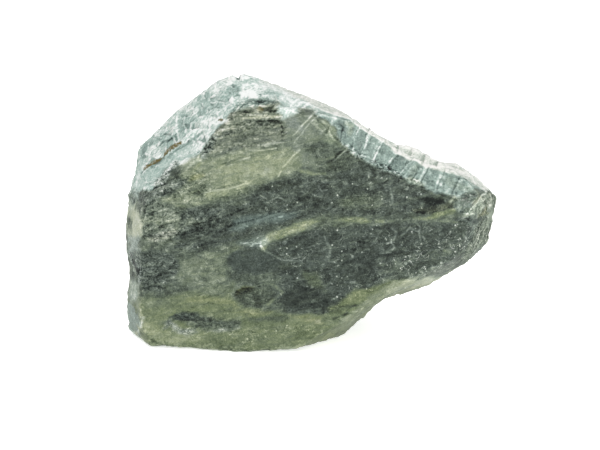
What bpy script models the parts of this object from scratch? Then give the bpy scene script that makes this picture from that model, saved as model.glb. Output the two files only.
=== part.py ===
"""Raw soapstone: one lump of talc rock, split on flat cleavage planes, standing on its flat base.

Metres, +Z up. The widest side of the stone runs along X and its dark cleaved face looks along -Y.
The origin is the middle of the lump's outline on the surface that it stands on.
"""

import bpy
import bmesh
import math
from mathutils import Matrix, Vector

MM = 0.001

# Rough block that the lump is split from. Its bottom hangs below the base until that is sawn flat.
BLOCK_SIZE = Vector((230, 130, 170)) * MM
BASE_ALLOWANCE = 4 * MM

# Point inside the stone that planes, chips, steps and spalls are measured from.
HEART = Vector((0, 0, 66.5)) * MM

# Each plane as bearing and rise of its outward normal, in degrees, and its reach from the heart in mm.
# Bearing 0 looks towards -Y and grows towards +X; a positive rise looks upwards.
CLEAVAGE_PLANES = {
    "main face": (0, 8, 36.5),
    "main face, right": (12, 8, 42),
    "main face, left": (-10, 5, 46.5),
    "shoulder, outer": (-60, 41, 81),
    "shoulder": (-48, 40, 74),
    "shoulder, at the peak": (-22, 59, 70),
    "top, at the peak": (57, 68, 57.2),
    "top, middle": (86, 66, 56),
    "top, right": (86, 64, 56),
    "top, at the tip": (72, 50, 66.2),
    "ridge bevel": (31, 42, 54.5),
    "tip": (58, -9, 82.6),
    "tip, underside": (62, -38, 77.5),
    "overhang": (47, -48, 64.5),
    "left side, upper": (-71, 16, 92.2),
    "left side, lower": (-69, 2, 96),
    "heel": (-65, -25, 111.5),
    "toe, left": (-18, -80, 74.8),
    "toe, right": (25, -80, 70),
    "back": (177, 6, 37),
    "back, right": (158, 4, 39.5),
    "back, shoulder low": (-145, 30, 66),
    "back, shoulder high": (-160, 33, 53),
    "back, peak": (155, 46, 43),
    "back, top": (149, 48, 44),
    "back, ridge": (155, 42, 39.5),
    "back, tip high": (153, 35, 41.5),
    "back, left upper": (-123, -1, 80),
    "back, left lower": (-114, -3, 88.5),
    "back, tip": (122, -10, 82),
    "back, tip underside": (117, -52, 66.5),
    "back, overhang": (111, -61, 62),
}

# Shell-shaped chips knocked out of the edges: centre from the heart and radius of each one's sphere, in mm.
CHIPS = {
    "chip in the overhang": ((69, -41.6, -96.3), 65),
    "chip in the ridge": ((80, 11, 121.5), 94),
    "chip in the left side": ((-123.6, -13, -32.5), 26),
    "chip at the back of the base": ((40, 78, -78), 42),
    "chip at the back of the shoulder": ((-104, 52, 46), 46),
    "chip behind the ridge": ((46, 62, 50), 46),
}
CHIP_SEGMENTS = 48
CHIP_RINGS = 24

# A row of small saw-tooth steps down the ridge bevel, from the heart in mm.
STEPS_START = Vector((4, -24, 56))
STEPS_END = Vector((77, -23, 15.5))
STEP_COUNT = 11
STEP_BITE = 1.3
STEP_WIDTH = 24
STEP_THICKNESS = 8

# Thin plates that have come off a face: the plane that they lay on, two points whose line across that
# plane is the crack that they broke along, the plate's thickness, and how far it ran to the right-hand
# side of the crack, seen from outside and looking from its first point to its second. All in mm.
SPALLS = {
    "shoulder spall": ("shoulder", (-99.4, -12.5, 17.2), (-57.5, -20.8, 47.7), 1.2, 50),
    "upper back spall": ("back", (-80, 37, 26), (30, 37, -2), 2, 40),
    "lower back spall": ("back", (52, 37, -30), (-92, 37, -50), 1.6, 40),
}
SPALL_THICKNESS = 10


def remove_all_objects():
    for item in list(bpy.data.objects):
        bpy.data.objects.remove(item, do_unlink=True)


def new_collection(name):
    group = bpy.data.collections.new(name)
    bpy.context.scene.collection.children.link(group)
    return group


def move_to(item, group):
    for owner in list(item.users_collection):
        owner.objects.unlink(item)
    group.objects.link(item)


def direction(bearing, rise):
    turn = math.radians(bearing)
    lift = math.radians(rise)
    return Vector((math.sin(turn) * math.cos(lift), -math.cos(turn) * math.cos(lift), math.sin(lift)))


def plane_normal(name):
    bearing, rise, _ = CLEAVAGE_PLANES[name]
    return direction(bearing, rise)


def onto_plane(point, name):
    """The nearest point of a cleavage plane, both from the heart in mm."""
    normal = plane_normal(name)
    reach = CLEAVAGE_PLANES[name][2]
    return point + normal * (reach - normal.dot(point))


def soapstone_material():
    material = bpy.data.materials.new("soapstone")
    material.use_nodes = True
    shader = material.node_tree.nodes["Principled BSDF"]
    shader.inputs["Base Color"].default_value = (0.155, 0.185, 0.145, 1)
    shader.inputs["Roughness"].default_value = 0.55
    shader.inputs["Metallic"].default_value = 0
    return material


def split_on(mesh, point, normal):
    """Takes away what lies outside one plane and closes the stone there with a flat face."""
    cut = bmesh.ops.bisect_plane(
        mesh,
        geom=mesh.verts[:] + mesh.edges[:] + mesh.faces[:],
        plane_co=point,
        plane_no=normal,
        clear_outer=True,
    )
    rim = [item for item in cut["geom_cut"] if isinstance(item, bmesh.types.BMEdge)]
    if rim:
        bmesh.ops.edgenet_fill(mesh, edges=rim)


def cleaved_block(group):
    """A rectangular block, split on every cleavage plane."""
    bpy.ops.mesh.primitive_cube_add(size=1)
    stone = bpy.context.object
    stone.name = "soapstone"
    move_to(stone, group)
    mesh = bmesh.new()
    mesh.from_mesh(stone.data)
    bmesh.ops.scale(mesh, verts=mesh.verts, vec=BLOCK_SIZE)
    bmesh.ops.translate(mesh, verts=mesh.verts, vec=(0, 0, BLOCK_SIZE.z / 2 - BASE_ALLOWANCE))
    for bearing, rise, reach in CLEAVAGE_PLANES.values():
        normal = direction(bearing, rise)
        split_on(mesh, HEART + normal * reach * MM, normal)
    bmesh.ops.recalc_face_normals(mesh, faces=mesh.faces)
    mesh.to_mesh(stone.data)
    mesh.free()
    return stone


def cut_away(stone, cutter, group):
    """Hides a cutter in its collection and takes its shape out of the stone."""
    move_to(cutter, group)
    cutter.display_type = "WIRE"
    cutter.hide_render = True
    cut = stone.modifiers.new(cutter.name, "BOOLEAN")
    cut.operation = "DIFFERENCE"
    cut.solver = "EXACT"
    cut.object = cutter


def box_cutter(name, size, centre, along, out):
    """A box with its length on one direction and its thickness on the direction out of the stone."""
    across = out.cross(along).normalized()
    turned = Matrix((along, across, out)).transposed().to_4x4()
    bpy.ops.mesh.primitive_cube_add(size=1)
    cutter = bpy.context.object
    cutter.name = name
    cutter.data.transform(Matrix.Diagonal(size * MM).to_4x4())
    cutter.matrix_world = Matrix.Translation(HEART + centre * MM) @ turned
    return cutter


def knock_out_chips(stone, group):
    for name, (centre, radius) in CHIPS.items():
        bpy.ops.mesh.primitive_uv_sphere_add(
            segments=CHIP_SEGMENTS,
            ring_count=CHIP_RINGS,
            radius=radius * MM,
            location=HEART + Vector(centre) * MM,
        )
        chip = bpy.context.object
        chip.name = name
        cut_away(stone, chip, group)


def step_down_the_ridge(stone, group):
    """Each step bites deepest at its lower end, like a saw tooth."""
    normal = plane_normal("ridge bevel")
    run = STEPS_END - STEPS_START
    length = run.length / STEP_COUNT
    along = run.normalized()
    across = normal.cross(along).normalized()
    tilt = Matrix.Rotation(math.atan2(STEP_BITE, length), 3, across)
    size = Vector((length, STEP_WIDTH, STEP_THICKNESS))
    for number in range(STEP_COUNT):
        middle = STEPS_START + run * (number + 0.5) / STEP_COUNT
        centre = middle + normal * (STEP_THICKNESS - STEP_BITE) / 2
        name = f"ridge step {number + 1}"
        cut_away(stone, box_cutter(name, size, centre, tilt @ along, tilt @ normal), group)


def spall_the_faces(stone, group):
    """Where a plate has come off, the face lies a little deeper on one side of its crack."""
    for name, (plane, start, end, depth, reach) in SPALLS.items():
        normal = plane_normal(plane)
        start = onto_plane(Vector(start), plane)
        end = onto_plane(Vector(end), plane)
        crack = end - start
        along = crack.normalized()
        aside = along.cross(normal).normalized()
        size = Vector((crack.length, reach, SPALL_THICKNESS))
        middle = (start + end) / 2
        centre = middle + aside * reach / 2 + normal * (SPALL_THICKNESS / 2 - depth)
        cut_away(stone, box_cutter(name, size, centre, along, normal), group)


def saw_base_flat(stone, group):
    """A big block below the surface that the stone stands on takes the base to one true plane."""
    size = BLOCK_SIZE * 2 / MM
    centre = -HEART / MM - Vector((0, 0, size.z / 2))
    cut_away(stone, box_cutter("ground", size, centre, Vector((1, 0, 0)), Vector((0, 0, 1))), group)


def middle_of_outline(stone):
    """Middle of the finished stone's box, seen from above."""
    finished = stone.evaluated_get(bpy.context.evaluated_depsgraph_get())
    places = [finished.matrix_world @ corner.co for corner in finished.data.vertices]
    middle_x = (min(place.x for place in places) + max(place.x for place in places)) / 2
    middle_y = (min(place.y for place in places) + max(place.y for place in places)) / 2
    return Vector((middle_x, middle_y, 0))


def main():
    remove_all_objects()
    stone_group = new_collection("soapstone")
    cutter_group = new_collection("cutters")
    stone = cleaved_block(stone_group)
    stone.data.materials.append(soapstone_material())
    knock_out_chips(stone, cutter_group)
    step_down_the_ridge(stone, cutter_group)
    spall_the_faces(stone, cutter_group)
    saw_base_flat(stone, cutter_group)

    frame = bpy.data.objects.new("stone frame", None)
    stone_group.objects.link(frame)
    for item in (stone, *cutter_group.objects):
        item.parent = frame
    bpy.context.view_layer.update()
    frame.location = -middle_of_outline(stone)
    bpy.context.view_layer.update()


main()
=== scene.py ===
import math

import bmesh
import bpy
import numpy as np
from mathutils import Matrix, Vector, noise
from mathutils.bvhtree import BVHTree


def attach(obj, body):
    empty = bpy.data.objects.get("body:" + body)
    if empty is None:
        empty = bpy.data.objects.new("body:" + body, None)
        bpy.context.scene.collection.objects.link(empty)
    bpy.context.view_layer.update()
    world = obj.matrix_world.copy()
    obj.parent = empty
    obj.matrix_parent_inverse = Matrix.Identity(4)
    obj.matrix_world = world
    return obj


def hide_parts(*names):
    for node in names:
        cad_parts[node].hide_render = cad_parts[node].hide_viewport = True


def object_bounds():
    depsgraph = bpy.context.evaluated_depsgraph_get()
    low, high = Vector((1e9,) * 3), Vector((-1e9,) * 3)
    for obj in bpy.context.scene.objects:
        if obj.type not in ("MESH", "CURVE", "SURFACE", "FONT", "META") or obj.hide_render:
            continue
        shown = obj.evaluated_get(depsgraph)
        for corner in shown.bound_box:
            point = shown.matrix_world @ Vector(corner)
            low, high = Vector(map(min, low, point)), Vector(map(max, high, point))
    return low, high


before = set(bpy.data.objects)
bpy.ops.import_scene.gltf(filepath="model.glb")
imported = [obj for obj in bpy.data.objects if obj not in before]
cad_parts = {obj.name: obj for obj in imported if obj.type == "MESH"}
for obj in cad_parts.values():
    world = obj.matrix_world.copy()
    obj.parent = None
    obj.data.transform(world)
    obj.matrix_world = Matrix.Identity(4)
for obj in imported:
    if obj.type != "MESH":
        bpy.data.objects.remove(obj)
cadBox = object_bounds()
print("frame loaded")

mm = 0.001  # Blender works in metres, the values below are in millimetres
farOff = 1e3  # farther from a point than any edge or mark can be

# Where the photograph was taken from. A place on the stone that is seen in the photograph is
# given by its pixel there, and photoPlaces() says which pixel each point of the mesh falls on.
photoView = {
    "width": 600,
    "height": 450,
    "elevation": 14.0,  # degrees above the floor
    "distance": 1080.0,  # from the lens to the target
    "target": (-6.5, 0.1, 57.6),
    "lens": 120.0,
    "sensor": 36.0,
}


def viewAxes():
    tilt = math.radians(photoView["elevation"])
    ahead = np.array((0, math.cos(tilt), -math.sin(tilt)))
    up = np.array((0, math.sin(tilt), math.cos(tilt)))
    lensPoint = np.array(photoView["target"]) - ahead * photoView["distance"]
    return ahead, up, lensPoint


def photoPlaces(points):
    ahead, up, lensPoint = viewAxes()
    rays = points - lensPoint
    depth = rays @ ahead
    zoom = photoView["width"] * photoView["lens"] / photoView["sensor"]
    across = photoView["width"] / 2 + zoom * rays[:, 0] / depth
    down = photoView["height"] / 2 - zoom * (rays @ up) / depth
    return np.stack((across, down), axis=1)


def hexColour(text):
    parts = [int(text[i : i + 2], 16) / 255 for i in (1, 3, 5)]
    linear = [c / 12.92 if c <= 0.04045 else ((c + 0.055) / 1.055) ** 2.4 for c in parts]
    return (*linear, 1.0)


# Adds one node. A kind without "Node" in it is a shader node's. The settings may be just the name of the
# operation, and the inputs, each a value or another node's output, go by name or, in a tuple, in order.
def addNode(tree, kind, settings=None, inputs=None, out=0):
    node = tree.nodes.new(kind if "Node" in kind else "ShaderNode" + kind)
    if isinstance(settings, str):
        settings = {"operation": settings}
    for name, value in (settings or {}).items():
        setattr(node, name, value)
    for name, value in inputs.items() if isinstance(inputs, dict) else enumerate(inputs or ()):
        if isinstance(value, bpy.types.NodeSocket):
            tree.links.new(value, node.inputs[name])
        else:
            node.inputs[name].default_value = value
    return node.outputs[out] if len(node.outputs) else node


def smoothStep(low, high, values):
    t = np.clip((values - low) / (high - low), 0, 1)
    return t * t * (3 - 2 * t)


# The body of the lump: a fine, even skin over the CAD solid for the relief and the markings to sit on.
lumpBody = {
    "weld": 0.01,  # corners of the CAD mesh that are closer than this are one
    "voxel": 1.35,  # the side seen in the photograph gets twice as fine a skin
    "fineFrom": 0.3,  # how squarely a point must face the lens for that
    "edgeAngle": 16.0,  # degrees between two facets from which their edge counts as sharp
    "schistosity": (0.0, -0.990, 0.139),  # outward normal of the dark face, which the leaves lie along
    "foliationDip": 12.0,  # degrees by which the bands rise to the right on that face
    "bevel": (0.383, -0.637, 0.669),  # outward normal of the bevel below the ridge
    "bevelPlace": (21.1, -34.6, 103.0),  # a point of it
    "bevelSteps": 1.6,  # the CAD bevel's even steps are less deep than this
    "bevelMargin": 3.0,  # pixels round the bevel that are still looked through for them
    "oliveFoot": (36.0, 24.0),  # heights between which the olive foot comes in, over the middle
    "footRise": 0.08,  # how much higher it reaches for each mm to the left
    "bulgeRounds": 5,  # how wide a neighbourhood ridges and hollows are measured in
}


def cadCopy():
    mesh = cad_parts["soapstone"].data.copy()
    body = bmesh.new()
    body.from_mesh(mesh)
    bmesh.ops.remove_doubles(body, verts=body.verts, dist=lumpBody["weld"] * mm)
    bmesh.ops.dissolve_degenerate(body, edges=body.edges, dist=lumpBody["weld"] / 10 * mm)
    body.to_mesh(mesh)
    return mesh, body


def denseSkin(mesh):
    lump = bpy.data.objects.new("soapstoneLump", mesh)
    bpy.context.scene.collection.objects.link(lump)
    remesh = lump.modifiers.new("evenSkin", "REMESH")
    remesh.mode = "VOXEL"
    remesh.voxel_size = lumpBody["voxel"] * mm
    skin = bpy.data.meshes.new_from_object(lump.evaluated_get(bpy.context.evaluated_depsgraph_get()))
    lump.modifiers.clear()
    lump.data = skin
    return lump


def readVectors(items, name):
    values = np.empty(len(items) * 3)
    items.foreach_get(name, values)
    return values.reshape(-1, 3)


def movePoints(mesh, points):
    mesh.vertices.foreach_set("co", (points * mm).ravel())
    mesh.update()


# How fully each point faces the place that the photograph was taken from.
def facingLens(points, normals):
    towards = viewAxes()[2] - points
    towards /= np.linalg.norm(towards, axis=1)[:, None]
    return (normals * towards).sum(axis=1)


# Splits the faces that the photograph shows in four, where the finest marks are.
def refineSeen(mesh):
    points = readVectors(mesh.vertices, "co") / mm
    chosen = facingLens(points, readVectors(mesh.vertices, "normal")) > lumpBody["fineFrom"]
    body = bmesh.new()
    body.from_mesh(mesh)
    edges = [edge for edge in body.edges if chosen[edge.verts[0].index] and chosen[edge.verts[1].index]]
    bmesh.ops.subdivide_edges(body, edges=edges, cuts=1, use_grid_fill=True)
    body.to_mesh(mesh)
    body.free()


# Puts each point exactly on the CAD facet it belongs to, and says which way that facet looks.
def snapToFacets(mesh, body):
    tree = BVHTree.FromBMesh(body)
    points = readVectors(mesh.vertices, "co") / mm
    facetNormals = np.empty_like(points)
    for index, point in enumerate(points):
        nearest, normal, _, _ = tree.find_nearest(Vector(point * mm))
        points[index] = np.array(nearest) / mm
        facetNormals[index] = normal
    movePoints(mesh, points)
    return points, facetNormals


# The CAD bevel's even steps are filled in first, because the lump's own steps are placed one by one.
def fillBevel(mesh, points, facetNormals):
    outward = np.array(lumpBody["bevel"])
    depth = (points - lumpBody["bevelPlace"]) @ outward
    nearBevel = areaGap(photoPlaces(points), frontPatches["ridgeBevel"][-1]) < lumpBody["bevelMargin"]
    onBevel = nearBevel & (abs(depth) < lumpBody["bevelSteps"])
    points[onBevel] -= depth[onBevel, None] * outward
    facetNormals[onBevel] = outward
    movePoints(mesh, points)
    return onBevel


# How far each point is from a stretch, and how far along it, from 0 to 1, its nearest place lies.
def stretchGap(points, start, end):
    run = end - start
    along = np.clip((points - start) @ run / (run @ run), 0, 1)
    return np.linalg.norm(points - start - along[:, None] * run, axis=1), along


# Distance from each point to the nearest sharp convex edge of the CAD solid.
def edgeDistance(points, body):
    nearest = np.full(len(points), farOff)
    limit = math.radians(lumpBody["edgeAngle"])
    for edge in body.edges:
        if edge.is_manifold and edge.calc_face_angle_signed() >= limit:
            start, end = (np.array(vertex.co) / mm for vertex in edge.verts)
            nearest = np.minimum(nearest, stretchGap(points, start, end)[0])
    return nearest


def edgeEnds(mesh):
    ends = np.empty(len(mesh.edges) * 2, dtype=np.int64)
    mesh.edges.foreach_get("vertices", ends)
    return ends.reshape(-1, 2).T


# Lets each point settle towards the middle of its neighbours.
def settle(mesh, points, shares, rounds):
    first, second = edgeEnds(mesh)
    count = len(points)
    links = np.bincount(first, minlength=count) + np.bincount(second, minlength=count)
    settled = points.copy()
    for _ in range(rounds):
        total = np.empty_like(settled)
        for axis in range(settled.shape[1]):
            total[:, axis] = np.bincount(first, settled[second, axis], count)
            total[:, axis] += np.bincount(second, settled[first, axis], count)
        settled += (total / links[:, None] - settled) * shares[:, None]
    return settled


# How far each point stands out of its own neighbourhood, over the size of the faces there: positive on
# ridges and negative in hollows.
def standingOut(mesh):
    points = readVectors(mesh.vertices, "co") / mm
    count = len(points)
    first, second = edgeEnds(mesh)
    length = np.linalg.norm(points[first] - points[second], axis=1)
    total = np.bincount(first, length, count) + np.bincount(second, length, count)
    spacing = total / (np.bincount(first, minlength=count) + np.bincount(second, minlength=count))
    middle = settle(mesh, points, np.ones(count), lumpBody["bulgeRounds"])
    return ((points - middle) * readVectors(mesh.vertices, "normal")).sum(axis=1) / spacing


# Markings. A shape is a line of (x, y, half-width) or an area outlined by (x, y).
def lineGap(places, path):
    gap = np.full(len(places), farOff)
    for (x0, y0, w0), (x1, y1, w1) in zip(path, path[1:]):
        away, along = stretchGap(places, np.array((x0, y0)), np.array((x1, y1)))
        gap = np.minimum(gap, away - (w0 + (w1 - w0) * along))
    return gap


def areaGap(places, outline):
    closed = (*outline, outline[0])
    gap = lineGap(places, [(x, y, 0) for x, y in closed])
    inside = np.zeros(len(places), bool)
    for (x0, y0), (x1, y1) in zip(closed, closed[1:]):
        if y0 != y1:
            crossing = x0 + (x1 - x0) * (places[:, 1] - y0) / (y1 - y0)
            inside ^= ((y0 > places[:, 1]) != (y1 > places[:, 1])) & (places[:, 0] < crossing)
    return np.where(inside, -gap, gap)


def shapeGap(places, shape):
    return lineGap(places, shape) if len(shape[0]) == 3 else areaGap(places, shape)


# What the dark face and the facets round it show, each patch painted over the ones above it. A patch has its
# tone, 0 for black to 1 for white (None leaves the tone), how softly its edge fades, and what else it
# changes: how yellow-green (olive) or brown (warm), how freshly broken (fresh), how much it is flecked
# (fleck), speckled with talc flecks and painted glints (speck), crusted white (crust), darkened with painted
# shade in pits (pits), and how much it breaks in ledges (ledge), leaves (leafy) or splinters (splinter).
# Shapes are in pixels of the photograph.
frontPatches = {
    "broadFace": (0.4, 3, {"olive": 0.25, "fresh": 0, "warm": 0, "fleck": 0.8, "speck": 0.4, "crust": 0,
        "pits": 0, "leafy": 0, "splinter": 0},
        [(100, 190), (150, 190), (230, 112), (290, 100), (316, 112), (360, 140), (470, 205), (464, 262),
        (440, 275), (380, 290), (345, 320), (330, 380), (100, 380)]),
    "oliveFoot": (0.495, 5, {"olive": 0.85, "fleck": 0.5, "speck": 0.2},
        [(125, 297), (160, 299), (190, 292), (228, 294), (246, 311), (285, 313), (318, 316), (338, 308),
        (352, 299), (384, 284), (400, 300), (330, 360), (120, 360)]),
    "footLeft": (0.62, 5, {"olive": 0.9}, [(140, 322, 3), (152, 332, 6), (176, 339, 4), (200, 338, 2)]),
    "footLeftHigh": (0.53, 4, {"olive": 0.6}, [(142, 300, 2), (152, 302, 5), (166, 303, 3)]),
    # the pale lens, and the mottled stone left of it
    "mottledLeft": (0.49, 6, {"olive": 0.25, "fleck": 1.4, "pits": 0.8, "crust": 0.3},
        [(136, 192), (175, 205), (215, 214), (235, 224), (205, 236), (170, 240), (140, 240), (130, 215)]),
    "paleLens": (0.58, 3, {"olive": 0.6, "fleck": 0.8, "speck": 0.1},
        [(190, 166), (213, 158), (248, 148), (288, 146), (303, 152), (308, 162), (300, 170), (286, 176),
        (262, 184), (238, 190), (214, 198), (196, 206), (176, 206), (160, 200), (166, 190), (178, 178)]),
    "paleLensHeart": (0.62, 6, {"olive": 0.75, "fleck": 0.5},
        [(222, 168), (250, 158), (282, 154), (292, 160), (280, 170), (256, 177), (226, 183)]),
    "lensEdge": (0.6, 2.5, {"olive": 0.9},
        [(160, 197, 1.5), (178, 186, 2.5), (196, 176, 3), (200, 164, 2)]),
    "lensShade": (0.5, 3, {"olive": 0.5}, [(212, 160, 2), (226, 163, 2.5), (240, 159, 2)]),
    "lensFootShade": (0.5, 4, {"olive": 0.55, "fleck": 1.1}, [(182, 204, 3), (214, 198, 4), (246, 190, 3)]),
    "lensLeft": (0.56, 4, {"olive": 0.5, "fleck": 1.4, "pits": 0.5},
        [(170, 182), (184, 172), (200, 170), (208, 176), (210, 192), (196, 202), (172, 202)]),
    "lensYellow": (0.6, 2.5, {"olive": 1, "warm": 0.3}, [(190, 180, 1), (197, 177, 3), (204, 176, 1)]),
    "lensFootPale": (0.63, 2.5, {"olive": 0.8},
        [(206, 195, 2), (222, 193, 3), (236, 189, 2), (252, 182, 1)]),
    "lensBlotch": (0.68, 2, {"olive": 0.5, "crust": 0.5}, [(264, 171, 2), (265, 177, 2)]),
    # the green facet right of the ledges
    "greenFacet": (0.53, 4, {"olive": 0.3, "fleck": 0.5, "speck": 0.1},
        [(284, 114), (312, 112), (326, 124), (342, 142), (346, 152), (330, 166), (304, 172), (300, 156),
        (288, 146), (284, 132)]),
    "facetGrey": (0.58, 3, {"olive": 0.1}, [(286, 120, 3), (294, 122, 6), (302, 130, 4)]),
    "facetGreen": (0.56, 4, {"fresh": 0.2, "olive": 0.7}, [(320, 122, 3), (329, 132, 6), (337, 145, 5)]),
    "facetShade": (0.4, 4, {"olive": 0.3, "fleck": 1, "speck": 0.5},
        [(303, 142), (322, 140), (340, 146), (352, 158), (352, 170), (336, 174), (318, 168)]),
    # the dark band across the face, with a thin teal lens in it
    "darkBand": (0.345, 3, {"olive": 0.1, "fleck": 0.9, "speck": 0.9},
        [(261, 187), (270, 182), (290, 179), (312, 177), (340, 172), (368, 165), (392, 174), (412, 188),
        (438, 201), (456, 208), (440, 212), (400, 216), (360, 213), (325, 216), (296, 218), (276, 224),
        (256, 234), (226, 244), (198, 250), (176, 248), (176, 234), (200, 224), (190, 214), (210, 208),
        (240, 204)]),
    "bandStart": (0.27, 3, {"pits": 0.5}, [(264, 190, 3), (280, 184, 4), (300, 183, 2)]),
    "bandDark": (0.29, 4, {"fleck": 1.1}, [(302, 199, 2), (318, 205, 4), (334, 207, 3)]),
    "bandGreen": (0.385, 6, {"olive": 0.4}, [(344, 202, 6), (362, 203, 7), (378, 200, 4)]),
    "bandLeft": (0.45, 4, {"pits": 0.6, "fleck": 1.2}, [(182, 214, 2), (198, 213, 3), (222, 211, 2)]),
    "tealLens": (0.47, 4, {"olive": 0, "fresh": 0.6, "fleck": 0.5, "speck": 0.2},
        [(238, 221, 3), (262, 219, 5), (284, 215, 5), (298, 213, 2)]),
    "tealLensTwo": (0.46, 3, {"fresh": 0.55, "fleck": 0.7}, [(232, 228, 1), (246, 226, 4), (262, 222, 2)]),
    "veinHazeLeft": (0.47, 3, {"olive": 0.1, "fresh": 0.4, "crust": 1},
        [(240, 243, 2), (252, 243, 4), (262, 240, 4)]),
    "veinTailPale": (0.5, 2.5, {"olive": 0.55, "fleck": 0.7},
        [(240, 248, 1.5), (228, 252, 4), (214, 259, 5), (200, 267, 4)]),
    "bandFoot": (0.34, 4, {"fleck": 0.6, "speck": 0.3}, [(210, 238, 3), (230, 238, 5), (248, 234, 4)]),
    # painted shadow below the lower edge of the bevel
    "shadowUnderBevel": (0.4, 4, {"olive": 0.1, "pits": 0.6},
        [(356, 166, 3), (380, 170, 5), (404, 182, 5), (420, 190, 5)]),
    "nearBlack": (0.17, 3, {"fleck": 0.5}, [(416, 198, 2), (428, 203, 5), (440, 202, 3)]),
    "tipBrown": (0.36, 3, {"olive": 0.3, "warm": 0.5}, [(414, 211, 1), (430, 210, 2), (452, 206, 2)]),
    "tipGreen": (0.41, 2.5, {"olive": 0.65, "fresh": 0, "crust": 0.3},
        [(426, 218, 1), (440, 214, 3.5), (456, 212, 3), (464, 211, 1)]),
    # the left of the face
    "darkLeft": (0.41, 2.5, {"olive": 0.05, "fleck": 1.2, "pits": 0.6, "speck": 0.8},
        [(137, 254), (150, 250), (166, 253), (176, 256), (177, 268), (172, 279), (165, 284), (162, 292),
        (150, 292), (143, 284), (139, 272)]),
    "leftGreen": (0.52, 1.5, {"olive": 0.4, "fleck": 0.7}, [(180, 262, 1), (183, 270, 2), (180, 279, 1)]),
    "darkLeftFoot": (0.34, 2.5, {"pits": 0.5}, [(142, 275, 2), (156, 278, 3.5), (168, 274, 1)]),
    "pinkLeft": (0.55, 3, {"olive": 0, "warm": 0.3, "crust": 1.2},
        [(152, 238, 3), (162, 236, 4), (176, 232, 2.5)]),
    "midPale": (0.5, 5, {"olive": 0.45, "fleck": 0.8},
        [(182, 262), (205, 253), (228, 248), (236, 252), (226, 262), (222, 274), (230, 284), (238, 292),
        (210, 292), (188, 286), (178, 276)]),
    # the broad dark field and its ovals
    "darkField": (0.33, 6, {"olive": 0.05, "fleck": 0.75, "speck": 1.1},
        [(268, 252), (290, 234), (330, 226), (380, 224), (430, 224), (470, 222), (474, 240), (456, 262),
        (430, 276), (400, 280), (380, 284), (364, 294), (340, 306), (318, 310), (290, 312), (276, 300),
        (282, 284), (288, 268)]),
    "veinDull": (0.42, 3, {"olive": 0.35, "fleck": 0.8, "speck": 0.2},
        [(276, 236, 3), (304, 226, 5), (322, 222, 6), (344, 221, 5), (370, 221, 2)]),
    "fieldGrey": (0.36, 7, {}, [(322, 236, 3), (330, 250, 6), (336, 262, 4)]),
    "fieldGreyTwo": (0.39, 7, {}, [(286, 262, 3), (304, 264, 5), (330, 262, 3)]),
    "fieldDark": (0.25, 4, {"speck": 0.6}, [(384, 253, 2), (396, 256, 4), (409, 254, 3)]),
    "speckledCorner": (0.39, 8, {"olive": 0.15, "fleck": 0.9, "speck": 2.3},
        [(384, 266, 5), (404, 266, 9), (440, 256, 11), (462, 240, 8), (460, 228, 4)]),
    "fieldBrush": (0.42, 5, {"olive": 0.2, "crust": 0.7},
        [(372, 284, 2), (390, 276, 4), (420, 275, 4), (440, 270, 3)]),
    "circle": (0.41, 4, {"olive": 0.6, "speck": 0.5}, [(305, 276, 3), (314, 282, 8), (318, 290, 5)]),
    "circleCap": (0.25, 2, {}, [(308, 271, 0.5), (320, 270, 1), (331, 268, 0.5)]),
    "smoothOval": (0.325, 2.5, {"olive": 0.05, "fresh": 0.1, "fleck": 0.45, "speck": 0.4},
        [(238, 262, 10), (255, 260, 14), (270, 262, 9)]),
    "ovalDark": (0.28, 4, {"olive": 0.05, "fleck": 0.4}, [(280, 270, 3), (292, 272, 4), (300, 270, 2)]),
    "ovalHalo": (0.45, 4, {"olive": 0.7, "fleck": 0.6},
        [(232, 284, 2), (228, 296, 3), (236, 308, 3), (256, 311, 3)]),
    "lowerOval": (0.37, 2.5, {"olive": 0.35, "fleck": 0.9, "speck": 0.5},
        [(246, 297, 9), (257, 296, 11), (267, 295, 8)]),
    "lowerOvalRim": (0.27, 2, {"olive": 0.8, "warm": 0.6}, [(236, 294, 1), (243, 289, 1.5), (254, 287, 1)]),
    "darkestOval": (0.26, 5, {"olive": 0.05, "fleck": 0.5, "speck": 0.6},
        [(290, 300, 8), (306, 298, 13), (322, 300, 9)]),
    # the foot and the toe
    "footBlot": (0.33, 1.5, {"olive": 0.1, "fresh": 0.1, "fleck": 1.3, "speck": 0, "pits": 0.5},
        [(170, 317), (178, 312), (190, 312), (198, 313), (203, 318), (194, 321), (182, 319)]),
    "footBlotTail": (0.36, 3, {"olive": 0.3, "fleck": 1.2},
        [(184, 321), (204, 316), (222, 319), (242, 320), (240, 326), (214, 328), (196, 329)]),
    "footGrey": (0.41, 3, {"olive": 0.4}, [(252, 319, 1), (270, 319, 2.5), (288, 318, 1)]),
    "footFlecks": (0.56, 2.5, {"speck": 1, "olive": 0.2, "crust": 0.9, "pits": 0.8},
        [(165, 326, 2.5), (172, 321, 3), (176, 329, 3), (186, 332, 3), (198, 331, 2)]),
    "footFlecksTwo": (0.54, 2.5, {"speck": 1, "olive": 0.3, "crust": 0.9, "pits": 0.5},
        [(208, 331, 1.5), (218, 329, 2.5), (232, 328, 2), (242, 326, 1)]),
    "footFlecksThree": (None, 3, {"crust": 1.2}, [(238, 343, 2), (246, 343, 3), (256, 343, 2)]),
    "footSpeckled": (None, 5, {"crust": 0.7, "speck": 1.2},
        [(230, 334, 4), (262, 334, 6), (296, 330, 6), (318, 330, 4)]),
    "toeOlive": (0.41, 5, {"olive": 0.95}, [(298, 334, 4), (314, 334, 5), (326, 332, 3)]),
    "yellowWisps": (0.57, 3, {"olive": 1, "warm": 0.2},
        [(192, 300, 2), (208, 300, 3.5), (230, 304, 3), (236, 310, 2)]),
    "yellowFoot": (0.54, 3.5, {"olive": 0.95, "warm": 0.25}, [(243, 312, 2), (256, 313, 3), (270, 311, 1)]),
    "yellowFootTwo": (0.55, 3.5, {"olive": 0.95, "warm": 0.25},
        [(288, 314, 1), (302, 317, 3), (318, 318, 3)]),
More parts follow.
